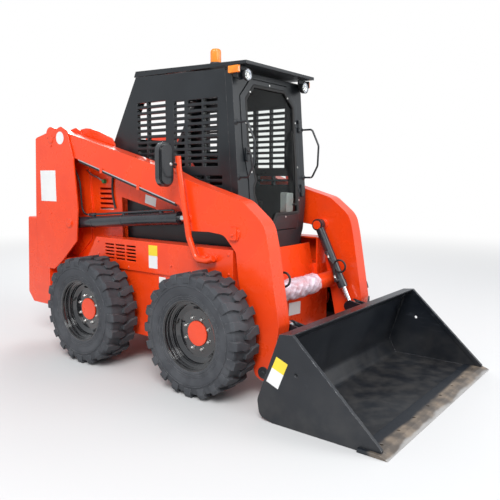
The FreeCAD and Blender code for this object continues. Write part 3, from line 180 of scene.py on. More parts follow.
def dust_group():
    tree, given, result = new_group("Dust", {"Height": 0.7, "Low": 1.0, "Top": 0.4}, "Mask")
    geometry = add(tree, "NewGeometry").outputs
    height = component(tree, geometry["Position"], "Z")
    level = component(tree, geometry["Normal"], "Z")
    near_ground = math_node(tree, "MULTIPLY", ramp_node(tree, height, 0.0, given["Height"], 1.0, 0.0), given["Low"])
    upward = math_node(tree, "MULTIPLY", ramp_node(tree, level, 0.6, 1.0), given["Top"])
    both_kinds = math_node(tree, "ADD", near_ground, upward, clamp=True)
    patchy = ramp_node(tree, noise_node(tree, 9.0, detail=6), 0.32, 0.72, 0.15, 1.0)
    tree.links.new(math_node(tree, "MULTIPLY", both_kinds, patchy), result["Mask"])
    return tree


def scratches_group():
    tree, given, result = new_group("Scratches", {"Amount": 0.5}, "Mask")
    lines = []
    for stretch in ((4, 160, 160), (150, 6, 150), (9, 120, 14)):
        lines.append(ramp_node(tree, noise_node(tree, 1.0, detail=2, stretch=stretch), 0.66, 0.72))
    every = math_node(tree, "MAXIMUM", math_node(tree, "MAXIMUM", lines[0], lines[1]), lines[2])
    patchy = ramp_node(tree, noise_node(tree, 3.0), 0.45, 0.65)
    masked = math_node(tree, "MULTIPLY", every, patchy)
    tree.links.new(math_node(tree, "MULTIPLY", masked, given["Amount"]), result["Mask"])
    return tree


def fine_bump_group():
    tree, given, result = new_group("Fine bump", {"Scale": 400.0, "Depth": 0.0001, "Strength": 0.3,
                                                  "Normal": (0.0, 0.0, 0.0)}, "Normal")
    bump = add(tree, "Bump", {"Height": noise_node(tree, given["Scale"]), "Distance": given["Depth"],
                              "Strength": given["Strength"], "Normal": given["Normal"]})
    tree.links.new(bump.outputs["Normal"], result["Normal"])
    return tree


GROUPS = {
    "edges": rounded_edges_group(),
    "blotches": blotches_group(),
    "dust": dust_group(),
    "scratches": scratches_group(),
    "bump": fine_bump_group(),
}
print(len(GROUPS), "node groups")

# %% [markdown]
# ## Materials
#
# A material is a Principled shader whose colour and roughness are layered: a base with slow blotches,
# then scratches and worn edges, which on the bucket are also a painted highlight, then dust. Each material
# is one row of settings, in which a grey may be given as one number.

# %% Material helpers
DUST_COLOUR = (0.42, 0.38, 0.33)
WORN_ROUGHNESS, DUSTY_ROUGHNESS = 0.45, 0.85
BLOTCH_ROUGHER = 1.25
EDGE_PATCH_SCALE = 38.0
EDGE_PATCH_LOW, EDGE_PATCH_HIGH = 0.52, 0.7


def group_node(tree, name, **inputs):
    return add(tree, "Group", inputs, node_tree=GROUPS[name]).outputs


def tint(colour):
    """What a colour socket takes, from three numbers, one grey number or a socket."""
    if isinstance(colour, bpy.types.NodeSocket):
        return colour
    return (*colour, 1) if isinstance(colour, tuple) else (colour, colour, colour, 1)


def mix_colour(tree, mask, first, second):
    return add(tree, "Mix", {0: mask, 6: tint(first), 7: tint(second)}, data_type="RGBA").outputs[2]


def mix_value(tree, mask, first, second):
    return add(tree, "Mix", {0: mask, 2: first, 3: second}).outputs[0]


def new_material(name, **sockets):
    """A material and its Principled shader, with fixed values set on the shader's own sockets."""
    material = bpy.data.materials.new(name)
    material.use_nodes = True
    shader = material.node_tree.nodes["Principled BSDF"]
    for label, value in sockets.items():
        shader.inputs[label.replace("_", " ")].default_value = value
    return material, material.node_tree, shader


def layered(name, colour, blotch, roughness, blotch_scale=5.0, radius=0.003, wear_and_highlight=None, metal=0.0,
            dust=(0.25, 0.2), dust_height=0.7, dust_colour=DUST_COLOUR, scratch=(0.2, 0.3),
            bump=(420.0, 0.0001, 0.25), coat=None, **sockets):
    """A weathered surface.

    radius is that of the rounded edges, wear_and_highlight the amount and colour on them, which is worn
    paint and on the bucket also a painted highlight, and metal how bare they are.
    dust is the amount low down and on top, scratch an amount and a colour, bump a scale, depth and
    strength, and coat a weight and a roughness.
    """
    if coat:
        sockets.update(Coat_Weight=coat[0], Coat_Roughness=coat[1])
    material, tree, shader = new_material(name, **sockets)
    edges = group_node(tree, "edges", Radius=radius)
    blotches = group_node(tree, "blotches", Scale=blotch_scale)["Mask"]
    dusty = group_node(tree, "dust", Height=dust_height, Low=dust[0], Top=dust[1])["Mask"]
    scratches = group_node(tree, "scratches", Amount=scratch[0])["Mask"]
    base = mix_colour(tree, blotches, colour, blotch)
    base = mix_colour(tree, scratches, base, scratch[1])
    rough = mix_value(tree, blotches, roughness, roughness * BLOTCH_ROUGHER)
    # Lighter colour on the edges: worn paint, and on the bucket also a painted highlight.
    if wear_and_highlight:
        patches = ramp_node(tree, noise_node(tree, EDGE_PATCH_SCALE, detail=5), EDGE_PATCH_LOW - 0.2 * wear_and_highlight[0], EDGE_PATCH_HIGH)
        edge_wear_and_highlight = math_node(tree, "MULTIPLY", edges["Edge"], patches)
        base = mix_colour(tree, edge_wear_and_highlight, base, wear_and_highlight[1])
        rough = mix_value(tree, edge_wear_and_highlight, rough, WORN_ROUGHNESS)
        if metal:
            tree.links.new(math_node(tree, "MULTIPLY", edge_wear_and_highlight, metal), shader.inputs["Metallic"])
    base = mix_colour(tree, dusty, base, dust_colour)
    rough = mix_value(tree, dusty, rough, DUSTY_ROUGHNESS)
    bumped = group_node(tree, "bump", Scale=bump[0], Depth=bump[1], Strength=bump[2], Normal=edges["Normal"])
    for label, value in (("Base Color", base), ("Roughness", rough), ("Normal", bumped["Normal"])):
        tree.links.new(value, shader.inputs[label])
    return material


# %% Materials
RUBBER_DUST = (0.150, 0.152, 0.158)
materials = {
    "orange": layered(
        "Orange enamel", (0.86, 0.056, 0.004), (0.81, 0.049, 0.004), 0.26, radius=0.005,
        wear_and_highlight=(0.1, (0.55, 0.20, 0.12)), dust=(0.07, 0.04), scratch=(0.08, (0.95, 0.28, 0.15)),
        bump=(260.0, 0.00006, 0.2), coat=(0.30, 0.10)),
    "black": layered(
        "Satin black enamel", (0.006, 0.0085, 0.011), (0.009, 0.012, 0.015), 0.36, radius=0.007,
        wear_and_highlight=(0.2, 0.10), dust=(0.06, 0.05), scratch=(0.06, 0.12), bump=(520.0, 0.0001, 0.3),
        coat=(0.20, 0.25)),
    # The bucket's light grey edge colour is worn steel and also a painted highlight along its edges.
    "bucket": layered(
        "Scuffed bucket black with painted edge highlights", (0.006, 0.008, 0.012), (0.011, 0.014, 0.019), 0.31, blotch_scale=2.0,
        wear_and_highlight=(0.7, (0.42, 0.43, 0.45)), metal=0.6, dust=(0.05, 0.03), dust_height=0.4,
        scratch=(0.22, (0.10, 0.11, 0.13)), bump=(300.0, 0.0001, 0.35)),
    "edge": layered(
        "Worn cutting edge", (0.085, 0.070, 0.058), (0.20, 0.155, 0.115), 0.36, blotch_scale=9.0,
        radius=0.002, wear_and_highlight=(0.9, (0.66, 0.61, 0.55)), metal=0.9, dust=(0.05, 0.03),
        scratch=(0.35, (0.40, 0.36, 0.32)), bump=(240.0, 0.0001, 0.45)),
    "iron": layered("Cast iron", 0.05, (0.08, 0.075, 0.07), 0.6, dust=(0.4, 0.2), scratch=(0.05, 0.3)),
    "plastic": layered(
        "Moulded black plastic", (0.018, 0.018, 0.020), (0.024, 0.024, 0.026), 0.48, radius=0.004,
        dust=(0.15, 0.2), scratch=(0.08, 0.08), bump=(900.0, 0.0001, 0.4)),
    "hose": layered(
        "Hydraulic hose", (0.012, 0.012, 0.013), (0.022, 0.022, 0.023), 0.5, blotch_scale=30.0,
        dust=(0.2, 0.15), scratch=(0.1, 0.06), bump=(1100.0, 0.0003, 0.5)),
    "rubber": layered(
        "Tyre rubber", (0.036, 0.039, 0.046), (0.052, 0.056, 0.064), 0.72, blotch_scale=9.0, radius=0.006,
        wear_and_highlight=(0.8, RUBBER_DUST), dust_colour=RUBBER_DUST, dust=(0.20, 0.06), dust_height=0.9,
        scratch=(0.15, 0.07), bump=(700.0, 0.0003, 0.4)),
    "rim": layered(
        "Glossy rim black", (0.005, 0.0055, 0.007), (0.009, 0.010, 0.012), 0.13, radius=0.004,
        dust=(0.015, 0.01), dust_height=0.8, scratch=(0.04, 0.07), bump=(300.0, 0.0001, 0.10),
        coat=(0.85, 0.05), Specular_IOR_Level=0.7),
    "cylinder": layered(
        "Cylinder paint", (0.016, 0.019, 0.024), (0.024, 0.028, 0.034), 0.26, radius=0.004, dust=(0.06, 0.04),
        scratch=(0.1, (0.15, 0.16, 0.17)), bump=(400.0, 0.0001, 0.25), coat=(0.35, 0.12)),
    "seat": layered(
        "Cushion vinyl", (0.020, 0.020, 0.022), (0.030, 0.030, 0.032), 0.46, radius=0.002, dust=(0.0, 0.12),
        scratch=(0.05, 0.3), bump=(1500.0, 0.0004, 0.5)),
    "zinc": layered(
        "Zinc plated steel", (0.58, 0.58, 0.57), (0.45, 0.44, 0.42), 0.3, blotch_scale=60.0, radius=0.0008,
        dust=(0.15, 0.2), scratch=(0.3, 0.3), bump=(900.0, 0.0001, 0.25), Metallic=0.95),
    "chrome": layered(
        "Chromed rod", (0.74, 0.75, 0.77), (0.66, 0.67, 0.69), 0.12, blotch_scale=30.0, radius=0.001,
        dust=(0.08, 0.05), scratch=(0.1, 0.5), bump=(420.0, 0.0001, 0.08), Metallic=1.0),
    "white": layered(
        "White label", (0.80, 0.80, 0.79), (0.74, 0.75, 0.75), 0.35, radius=0.0004, dust=(0.12, 0.2),
        scratch=(0.1, 0.6), bump=(420.0, 0.0001, 0.05)),
    "yellow": layered(
        "Yellow label", (0.86, 0.66, 0.035), (0.80, 0.60, 0.03), 0.35, radius=0.0004, dust=(0.1, 0.2),
        scratch=(0.1, (0.7, 0.55, 0.2)), bump=(420.0, 0.0001, 0.05)),
    "amber": layered(
        "Amber lens", (0.92, 0.26, 0.012), (0.85, 0.20, 0.01), 0.14, blotch_scale=20.0, radius=0.002,
        dust=(0.0, 0.1), scratch=(0.05, (0.95, 0.5, 0.2)), bump=(90.0, 0.0006, 0.3), coat=(0.6, 0.04)),
    "green": layered(
        "Green cap", (0.03, 0.22, 0.06), (0.025, 0.18, 0.05), 0.4, radius=0.002, dust=(0.05, 0.2),
        scratch=(0.05, 0.3)),
    "grey": layered(
        "Grey plastic", (0.36, 0.37, 0.37), (0.30, 0.31, 0.31), 0.45, radius=0.004, dust=(0.1, 0.1),
        scratch=(0.05, 0.3), bump=(700.0, 0.0001, 0.25)),
    "glow": layered(
        "Lamp emitters", (0.85, 0.84, 0.74), (0.80, 0.78, 0.66), 0.2, radius=0.001, dust=(0.0, 0.0),
        scratch=(0.0, 0.3), bump=(420.0, 0.0001, 0.05), Coat_Weight=0.8),
    "gasket": layered(
        "Rubber gasket", 0.010, 0.016, 0.62, radius=0.002, dust=(0.1, 0.15), scratch=(0.0, 0.3)),
}
BARE_STEEL = (0.56, 0.55, 0.54)
EDGE_PAINT = (0.010, 0.013, 0.018)


def glass_material(name, colour, roughness):
    """Thin clear glass with faint smears."""
    material, tree, shader = new_material(name, IOR=1.16, Transmission_Weight=1.0, Base_Color=(*colour, 1))
    smears = group_node(tree, "blotches", Scale=4.0, Low=0.45, High=0.8)
    tree.links.new(mix_value(tree, smears["Mask"], roughness, roughness + 0.05), shader.inputs["Roughness"])
    return material


def rubbed_front(material, low, high):
    """Adds paint that is rubbed off towards the front of a plate, and a bright lip."""
    tree = material.node_tree
    shader = tree.nodes["Principled BSDF"]
    depth = high - low
    x = component(tree, add(tree, "TexCoord").outputs["Object"], "X")
    ragged = math_node(tree, "MULTIPLY_ADD", noise_node(tree, 9.0, detail=6, stretch=(1, 0.35, 1)), 0.09, -0.045)
    along = math_node(tree, "ADD", x, ragged)
    painted = ramp_node(tree, along, low + 0.30 * depth, low + 0.50 * depth, 1.0, 0.0)
    lip = ramp_node(tree, along, low + 0.84 * depth, low + 0.97 * depth)
    lip = math_node(tree, "MULTIPLY", lip, 0.75)
    worn = shader.inputs["Base Color"].links[0].from_socket
    colour = mix_colour(tree, painted, mix_colour(tree, lip, worn, BARE_STEEL), EDGE_PAINT)
    tree.links.new(colour, shader.inputs["Base Color"])
    tree.links.new(math_node(tree, "MULTIPLY", lip, 0.7), shader.inputs["Metallic"])


edge_x = [vertex.co.x for vertex in nodes["cutting_edge"].data.vertices]
rubbed_front(materials["edge"], min(edge_x), max(edge_x))
materials["glass"] = glass_material("Cab glass", (0.86, 0.90, 0.88), 0.01)
materials["lens"] = glass_material("Lamp lens", (0.95, 0.97, 1.0), 0.04)


def film_material():
    """Crumpled clear film: it shows what lies below it and catches the light on its folds."""
    material, tree, shader = new_material("Packing film", Base_Color=(0.80, 0.70, 0.80, 1), Roughness=0.20,
                                          Specular_IOR_Level=0.7)
    folds = ramp_node(tree, noise_node(tree, 26.0, detail=4, stretch=(1, 0.5, 1)), 0.35, 0.7, 0.55, 0.95)
    tree.links.new(folds, shader.inputs["Alpha"])
    creased = group_node(tree, "bump", Scale=70.0, Depth=0.004, Strength=0.6)
    tree.links.new(creased["Normal"], shader.inputs["Normal"])
    return material


materials["film"] = film_material()

NODE_MATERIALS = {
    "main_frame": "orange", "side_panel": "orange", "side_frame": "orange", "engine_hinges": "orange",
    "tower": "orange", "rear_guards": "orange", "engine_hood": "orange", "engine_door": "orange",
    "arm_": "orange", "cross_tube": "orange", "mirror_posts": "orange", "hub_": "orange",
    "engine_block": "iron", "cab_": "black", "door_frame": "black", "seat_frame": "black", "grab_handles": "black",
    "door_glass": "glass", "seat_cushion": "seat", "seat_back": "seat", "control_levers": "plastic",
    "mirrors": "rim", "work_lamps": "lens", "beacon": "amber", "lift_barrel": "cylinder", "tilt_barrel": "cylinder",
    "lift_rod": "chrome", "tilt_rod": "chrome", "bucket_shell": "bucket", "coupler": "bucket",
    "cutting_edge": "edge", "tyre_": "rubber", "rim_": "rim", "lift_hose": "hose", "tilt_hose": "hose",
}
for name, node in nodes.items():
    key = max((key for key in NODE_MATERIALS if name.startswith(key)), key=len)
    node.data.materials.clear()
    node.data.materials.append(materials[NODE_MATERIALS[key]])
print(len(materials), "materials")

# %% [markdown]
# ## Building blocks
#
# The small parts are made from a few shapes: a turned profile, a flat outline with a thickness, and a
# bar that is swept along points. Each is added to an open mesh, so one piece can hold many bolts.

# %% Mesh helpers
RIGHT, LEFT = (0, -1, 0), (0, 1, 0)
AHEAD, BACK = (1, 0, 0), (-1, 0, 0)
UP = (0, 0, 1)


def finish_piece(name, mesh, material, body, smooth=35):
    """Closes an open mesh, gives it a material and lets it ride on a body."""
    data = bpy.data.meshes.new(name)
    bmesh.ops.recalc_face_normals(mesh, faces=mesh.faces)
    mesh.to_mesh(data)
    mesh.free()
    piece = add_object(name, data)
    for polygon in data.polygons:
        polygon.use_smooth = True
    data.set_sharp_from_angle(angle=math.radians(smooth))
    data.materials.append(materials[material])
    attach(piece, body)
    return piece


def built(name, material, body, *shapes):
    """A piece from several shapes; each is one of the helpers below and what it takes."""
    mesh = bmesh.new()
    for shape, *given in shapes:
        shape(mesh, *given)
    return finish_piece(name, mesh, material, body)


def facing(point, direction, up=UP):
    """A placement at a point whose local Z looks along a direction."""
    z = Vector(direction).normalized()
    x = Vector(up).cross(z)
    x = (Vector(AHEAD) if x.length < 1e-6 else x).normalized()
    rotation = Matrix((x, z.cross(x), z)).transposed().to_4x4()
    return Matrix.Translation(point) @ rotation


def circle(count, start=0.0):
    """The angles of equal steps round a full circle."""
    return [2 * math.pi * (i + start) / count for i in range(count)]


def upright(radius, angle):
    """A step from a middle out to a circle that stands upright and faces sideways."""
    return Vector((radius * math.cos(angle), 0, radius * math.sin(angle)))


def skin(mesh, loops, caps=False):
    """Joins each loop of points to the next with faces; caps close the first and the last."""
    for low, high in zip(loops, loops[1:]):
        for i in range(len(low)):
            j = (i + 1) % len(low)
            mesh.faces.new((low[i], low[j], high[j], high[i]))
    if caps:
        mesh.faces.new(loops[0])
        mesh.faces.new(loops[-1])


def turned(mesh, profile, place, steps=24):
    """Turns (radius, height) points about the local Z axis; a radius of 0 closes the end."""
    rings = []
    for radius, height in profile:
        angles = circle(steps) if radius else [0.0]
        rings.append([mesh.verts.new(place @ Vector((radius * math.cos(a), radius * math.sin(a), height)))
                      for a in angles])
    for low, high in zip(rings, rings[1:]):
        for i in range(steps):
            quad = [low[i % len(low)], low[(i + 1) % len(low)], high[(i + 1) % len(high)], high[i % len(high)]]
            corners = list(dict.fromkeys(quad))
            if len(corners) > 2:
                mesh.faces.new(corners)


def slab(mesh, outline, place, thickness, inset=0.0):
    """A flat outline with a thickness along local Z; its top may be a little smaller."""
    corners = [Vector((x, y, 0)) for x, y in outline]
    middle = sum(corners, Vector()) / len(corners)
    rise = Vector((0, 0, thickness))
    low = [mesh.verts.new(place @ corner) for corner in corners]
    top = [mesh.verts.new(place @ (corner + (middle - corner).normalized() * inset + rise)) for corner in corners]
    skin(mesh, [low, top], caps=True)


def rectangle(x0, x1, z0, z1):
    return [(x0, z0), (x1, z0), (x1, z1), (x0, z1)]


def rounded_box(width, height, radius, steps=5):
    """The outline of a rectangle with round corners, about its middle."""
    points = []
    for corner, (sx, sy) in enumerate(((1, 1), (-1, 1), (-1, -1), (1, -1))):
        for i in range(steps + 1):
            angle = math.pi / 2 * (corner + i / steps)
            points.append((sx * (width / 2 - radius) + radius * math.cos(angle),
                           sy * (height / 2 - radius) + radius * math.sin(angle)))
    return points


def heading(points, i):
    """The direction of a path at one of its points."""
    return (points[min(i + 1, len(points) - 1)] - points[max(i - 1, 0)]).normalized()


def hoop(mesh, point, side, other, radius, steps):
    """A ring of points in the plane of two directions."""
    return [mesh.verts.new(point + (side * math.cos(a) + other * math.sin(a)) * radius) for a in circle(steps)]


def bar(mesh, points, radius, steps=12):
    """A round bar through points, with closed ends."""
    rings = []
    side = None
    for i, point in enumerate(points):
        ahead = heading(points, i)
        side = ahead.orthogonal() if side is None else side - ahead * side.dot(ahead)
        side.normalize()
        rings.append(hoop(mesh, point, side, ahead.cross(side), radius, steps))
    skin(mesh, rings, caps=True)


def bolt(mesh, point, direction, size):
    """A hexagon head on a washer; the size is the washer's radius, and every measure a share of it."""
    place = facing(point, direction)
    turned(mesh, [(radius * size, height * size) for radius, height in
                  ((0, 0), (1, 0), (1, 0.14), (0.93, 0.2), (0, 0.2))], place)
    turned(mesh, [(radius * size, height * size) for radius, height in
                  ((0.74, 0.2), (0.74, 0.62), (0.62, 0.72), (0, 0.72))], place, steps=6)


# %% [markdown]
# ## Wheels
#
# Eight nuts on their studs hold each wheel, on the 203.2 mm circle that helped to find the machine's size.
# Each tyre also gets the raised rings of its outer sidewall, and its rim the rolled steps and a valve stem.

# %% Wheel details
AXLE_X = 0.5415
AXLE_Z = 0.385
DISC_FACE = 0.749
STUD_CIRCLE = 0.1016
VALVE_CIRCLE = 0.166
VALVE_ANGLE = 2.85
RIM_RINGS = ((0.2118, 0.827, 0.0050), (0.2083, 0.806, 0.0055), (0.1925, 0.780, 0.0065), (0.1882, 0.758, 0.0055))
SIDEWALL_RINGS = ((0.234, 0.8360, 0.003), (0.246, 0.8375, 0.004), (0.258, 0.8400, 0.002), (0.312, 0.8470, 0.003))
WHEEL_NUT = (([(0, 0), (0.0145, 0), (0.0145, 0.002), (0.0130, 0.003)], 20),
             ([(0.0115, 0.003), (0.0115, 0.010), (0.0092, 0.0125), (0.0062, 0.0125)], 6),
             ([(0.0062, 0.0120), (0.0062, 0.0170), (0.0050, 0.0185), (0, 0.0185)], 16))


def wheel_details(name, axle, side):
    """Nuts, valve and rings of one wheel; each ring has a radius, a place outwards and half a width."""
    body = "wheel_" + name
    outwards = Vector((0, side, 0))
    middle = at(axle, 0, AXLE_Z)
    place = facing(middle, outwards)
    nut_places = [facing(middle + upright(STUD_CIRCLE, angle) + outwards * DISC_FACE, outwards)
                  for angle in circle(8, start=0.5)]
    built("wheel_nuts_" + name, "zinc", body,
          *[(turned, profile, nut, steps) for nut in nut_places for profile, steps in WHEEL_NUT])
    foot = middle + upright(VALVE_CIRCLE, VALVE_ANGLE) + outwards * (DISC_FACE + 0.005)
    stem = [foot + outwards * out - upright(lean, VALVE_ANGLE)
            for out, lean in ((0, 0), (0.022, 0.004), (0.036, 0.012))]
    built("valve_" + name, "gasket", body, (bar, stem, 0.0048))
    built("sidewall_rings_" + name, "rubber", body,
          *[(turned, [(radius - width, out - 0.003), (radius - 0.6 * width, out + 0.0025),
                      (radius + 0.6 * width, out + 0.0025), (radius + width, out - 0.003)], place, 96)
            for radius, out, width in SIDEWALL_RINGS])
    built("rim_rings_" + name, "rim", body,
          *[(turned, [(radius + 0.001, out - width), (radius - 0.6 * width, out - 0.5 * width),
                      (radius - 0.6 * width, out + 0.5 * width), (radius + 0.001, out + width)], place, 72)
            for radius, out, width in RIM_RINGS])


for where, axle in (("front", AXLE_X), ("rear", -AXLE_X)):
    for hand, side in SIDES:
        wheel_details(where + "_" + hand, axle, side)

# %% [markdown]
# ## Fasteners
#
# One table lists the bolts that show: where each one is, which way it faces and its size. Every row is
# repeated on the machine's other side.

# %% Fasteners
LIFT_REAR_PIN, LIFT_FRONT_PIN = (-0.955, 0.985), (0.311, 1.081)
TILT_UPPER_PIN, TILT_LOWER_PIN = (0.700, 0.995), (0.984, 0.418)
BUCKET_PIN = (0.930, 0.172)
LIFT_REAR_END, TILT_UPPER_END, PIN_END = 0.6075, 0.605, 0.595
PANEL_FACE, TOWER_FACE, BUCKET_FACE = 0.585, 0.602, 0.827
HOOD_TOP, HOOD_BOLT_Y = 1.330, -0.36


def on_right(face, *rows):
    """Bolts on an upright face of the right side; each row is a place (x, z) and a size."""
    return [((x, -face, z), RIGHT, size) for x, z, size in rows]


BOLTS = {
    "chassis": on_right(PANEL_FACE, (0.148, 0.749, 0.010), (0.655, 0.868, 0.010), (0.655, 0.743, 0.009),
                        (-0.622, 0.772, 0.010), (-0.622, 0.868, 0.010), (-0.285, 0.700, 0.008))
    + on_right(TOWER_FACE, (-1.120, 1.655, 0.009), (-1.206, 1.655, 0.009), (-1.163, 1.590, 0.009),
               (-1.20, 1.05, 0.008), (-1.36, 1.05, 0.008))
    + on_right(LIFT_REAR_END, (*LIFT_REAR_PIN, 0.010))
    + [((x, HOOD_BOLT_Y, HOOD_TOP), UP, 0.010) for x in (-1.20, -0.95, -0.70)],
    "lift_arm": on_right(TILT_UPPER_END, (*TILT_UPPER_PIN, 0.011)) + on_right(PIN_END, (*LIFT_FRONT_PIN, 0.012)),
    "bucket": on_right(PIN_END, (*BUCKET_PIN, 0.013)),
}


def mirror_y(point):
    return Vector((point[0], -point[1], point[2]))


for body, rows in BOLTS.items():
    both = [(bolt, turn(at(*point)), turn(direction), size)
            for point, direction, size in rows for turn in (Vector, mirror_y)]
    built("bolts_" + body, "bucket" if body == "bucket" else "orange", body, *both)

# %% [markdown]
# ## Labels
#
# The real machine carries a number, marks and warning pictures. Here those places keep their plates and
# their colours, and stay blank.

# %% Labels
LABEL_LIFT = 0.0003
LABEL_THICKNESS = 0.0009
ROUND_LABEL = [(-1.041 + 0.049 * math.cos(angle), 1.645 + 0.049 * math.sin(angle)) for angle in circle(32)]
LABELS = (
    ("plate_tower", rectangle(-1.325, -1.118, 1.150, 1.395), TOWER_FACE, "white"),
    ("label_tower_round", ROUND_LABEL, TOWER_FACE, "white"),
    ("label_rail", [(-0.245, 1.160), (-0.134, 1.133), (-0.125, 1.194), (-0.236, 1.221)], 0.453, "white"),
    ("label_side_low", rectangle(-0.070, 0.017, 0.715, 0.803), PANEL_FACE, "white"),
    ("label_side_high", rectangle(-0.070, 0.017, 0.803, 0.876), PANEL_FACE, "yellow"),
    ("label_case", rectangle(0.018, 0.082, 0.618, 0.660), 0.573, "white"),
    ("label_front", [(0.040, 0.366), (0.190, 0.358), (0.194, 0.450), (0.044, 0.458)], 0.688, "white"),
    ("label_bucket_high", [(1.163, 0.317), (1.239, 0.289), (1.266, 0.354), (1.192, 0.383)], BUCKET_FACE, "yellow"),
    ("label_bucket_low", [(1.125, 0.233), (1.203, 0.203), (1.239, 0.289), (1.163, 0.317)], BUCKET_FACE, "white"),
)
for name, corners, face, material in LABELS:
    front = name == "label_front"
    start = at(face + LABEL_LIFT, 0, 0) if front else at(0, -face - LABEL_LIFT, 0)
    built(name, material, "bucket" if "bucket" in name else "chassis",
          (slab, corners, facing(start, AHEAD if front else RIGHT), LABEL_THICKNESS))

# %% [markdown]
# ## The door
#
# The glass sits in a rubber gasket. A lever handle and its lock are on the right edge, small round screws
# hold the glass, and the wiper stands upright along the left edge, with its motor inside.

# %% Door details
CAB_LEAN = math.radians(4.1)
DOOR_FOOT = 0.857
DOOR_PLACE = Matrix.Translation(at(0.615, 0, DOOR_FOOT)) @ Matrix.Rotation(-CAB_LEAN, 4, "Y")
DOOR_AHEAD = DOOR_PLACE.to_3x3() @ Vector(AHEAD)
GLASS_CORNERS = [(-0.148, 1.034), (-0.232, 1.228), (-0.232, 1.282), (-0.206, 1.322), (-0.268, 1.560),
                 (-0.268, 1.855), (-0.178, 1.946), (0.178, 1.946), (0.284, 1.850), (0.284, 1.092), (0.012, 1.092),
                 (-0.028, 1.034)]
GASKET_PROFILE = [(-0.007, -0.0108), (-0.007, -0.002), (-0.004, 0.0015), (0.008, 0.0025), (0.0125, 0.0005),
                  (0.0125, -0.0038)]
DOOR_SCREWS = ((-0.224, 1.905), (0.215, 1.910), (0.300, 1.740), (0.302, 1.420), (0.302, 1.180), (-0.287, 1.700),
               (-0.252, 1.380), (-0.200, 1.100), (0.120, 1.066), (0.0, 1.972), (-0.120, 1.005))
SCREW_HEAD = [(0, 0.0002), (0.0075, 0.0002), (0.0068, 0.0026), (0.0030, 0.0036), (0, 0.0036)]


def on_door(out, y, z):
    """A point in front of the door's face, which leans back with the cab."""
    return DOOR_PLACE @ Vector((out, y, z - DOOR_FOOT))


def rounded_corners(corners, radius, steps=4):
    """The corners of a closed outline, each replaced by an arc."""
    points = []
    for i, corner in enumerate(corners):
        here = Vector(corner)
        before = (Vector(corners[i - 1]) - here).normalized()
        after = (Vector(corners[(i + 1) % len(corners)]) - here).normalized()
        half = before.angle(after) / 2
        reach = radius / math.tan(half)
        centre = here + (before + after).normalized() * (radius / math.sin(half))
        start = here + before * reach - centre
        end = here + after * reach - centre
        for k in range(steps + 1):
            direction = start.lerp(end, k / steps).normalized()
            points.append(centre + direction * radius)
    return points


def ring(mesh, outline, profile, place_point):
    """Sweeps a (sideways, outwards) profile round a closed outline."""
    loops = []
    for i, here in enumerate(outline):
        along = (outline[(i + 1) % len(outline)] - outline[i - 1]).normalized()
        outward = Vector((-along.y, along.x))
        loops.append([mesh.verts.new(place_point(out, *(here + outward * side))) for side, out in profile])
    skin(mesh, loops + loops[:1])


def door_bar(mesh, points, radius, steps=12):
    bar(mesh, [on_door(*point) for point in points], radius, steps)


built("door_gasket", "gasket", "cab_door",
      (ring, rounded_corners(GLASS_CORNERS, 0.013), GASKET_PROFILE, on_door))
built("door_screws", "zinc", "cab_door",
      *[(turned, SCREW_HEAD, facing(on_door(0, y, z), DOOR_AHEAD), 16) for y, z in DOOR_SCREWS])
built("door_handle", "plastic", "cab_door",
      (door_bar, [(0.016, -0.299, 1.500), (0.032, -0.299, 1.500), (0.038, -0.299, 1.490), (0.040, -0.297, 1.440),
                  (0.038, -0.294, 1.385)], 0.0075),
      (turned, [(0, 0.0), (0.014, 0.0), (0.014, 0.004), (0.011, 0.007), (0, 0.007)],
       facing(on_door(0.016, -0.299, 1.523), DOOR_AHEAD)))
built("wiper", "gasket", "cab_door",
      (door_bar, [(-0.010, 0.235, 1.150), (0.018, 0.235, 1.150)], 0.009),
      (door_bar, [(0.014, 0.235, 1.145), (0.018, 0.238, 1.200), (0.016, 0.255, 1.500)], 0.0045),
      (door_bar, [(0.007, 0.255, 1.340), (0.012, 0.256, 1.500), (0.007, 0.257, 1.660)], 0.0045),
      (door_bar, [(-0.006, 0.255, 1.320), (-0.006, 0.257, 1.680)], 0.0035, 8))
built("wiper_motor", "grey", "cab_door",
      (slab, rounded_box(0.092, 0.150, 0.012), facing(on_door(-0.075, 0.212, 1.168), AHEAD), 0.052, 0.006))

# %% [markdown]
# ## Lamps
#
# The work lamps get a black housing, a bright reflector with a pattern of small emitters, and a clear lens.
# The beacon's dome is fluted, and the side markers have a ribbed lens on a black base.

# %% Lamps
LAMP_RADIUS = 0.040
FRONT_LAMP_Y, REAR_LAMP_Y, LAMP_Z = 0.336, 0.300, 1.990
LAMP_HOUSING = ((0, -0.034), (0.6, -0.033), (0.86, -0.022), (1, -0.008), (1, 0.002), (0.9, 0.002), (0.88, -0.002))
LAMP_DISH = ((0.88, -0.002), (0.7, -0.009), (0.3, -0.012), (0, -0.012))
EMITTER_DEPTH = -0.0115
LAMP_EMITTER = ((0.17, 0), (0.15, 0.003), (0.08, 0.0055), (0, 0.006))
LAMP_LENS = ((0, -0.001), (0.89, -0.001), (0.89, 0.001), (0.6, 0.0022), (0, 0.0028))


def lamp(name, point, direction):
    """One work lamp: housing, reflector, emitters and lens. Radii are shares of the lamp's."""
    place = facing(point, direction)
    whole = [(0, 0, 0)]
    spots = [(0, 0, EMITTER_DEPTH)] + [(0.5 * LAMP_RADIUS * math.cos(angle), 0.5 * LAMP_RADIUS * math.sin(angle),
                                        EMITTER_DEPTH) for angle in circle(6)]
    for kind, profile, material, places, steps in (
            ("_housing", LAMP_HOUSING, "plastic", whole, 40), ("_reflector", LAMP_DISH, "chrome", whole, 40),
            ("_emitters", LAMP_EMITTER, "glow", spots, 12), ("_lens", LAMP_LENS, "lens", whole, 40)):
        scaled = [(share * LAMP_RADIUS, height) for share, height in profile]
        built(name + kind, material, "chassis",
              *[(turned, scaled, place @ Matrix.Translation(spot), steps) for spot in places])


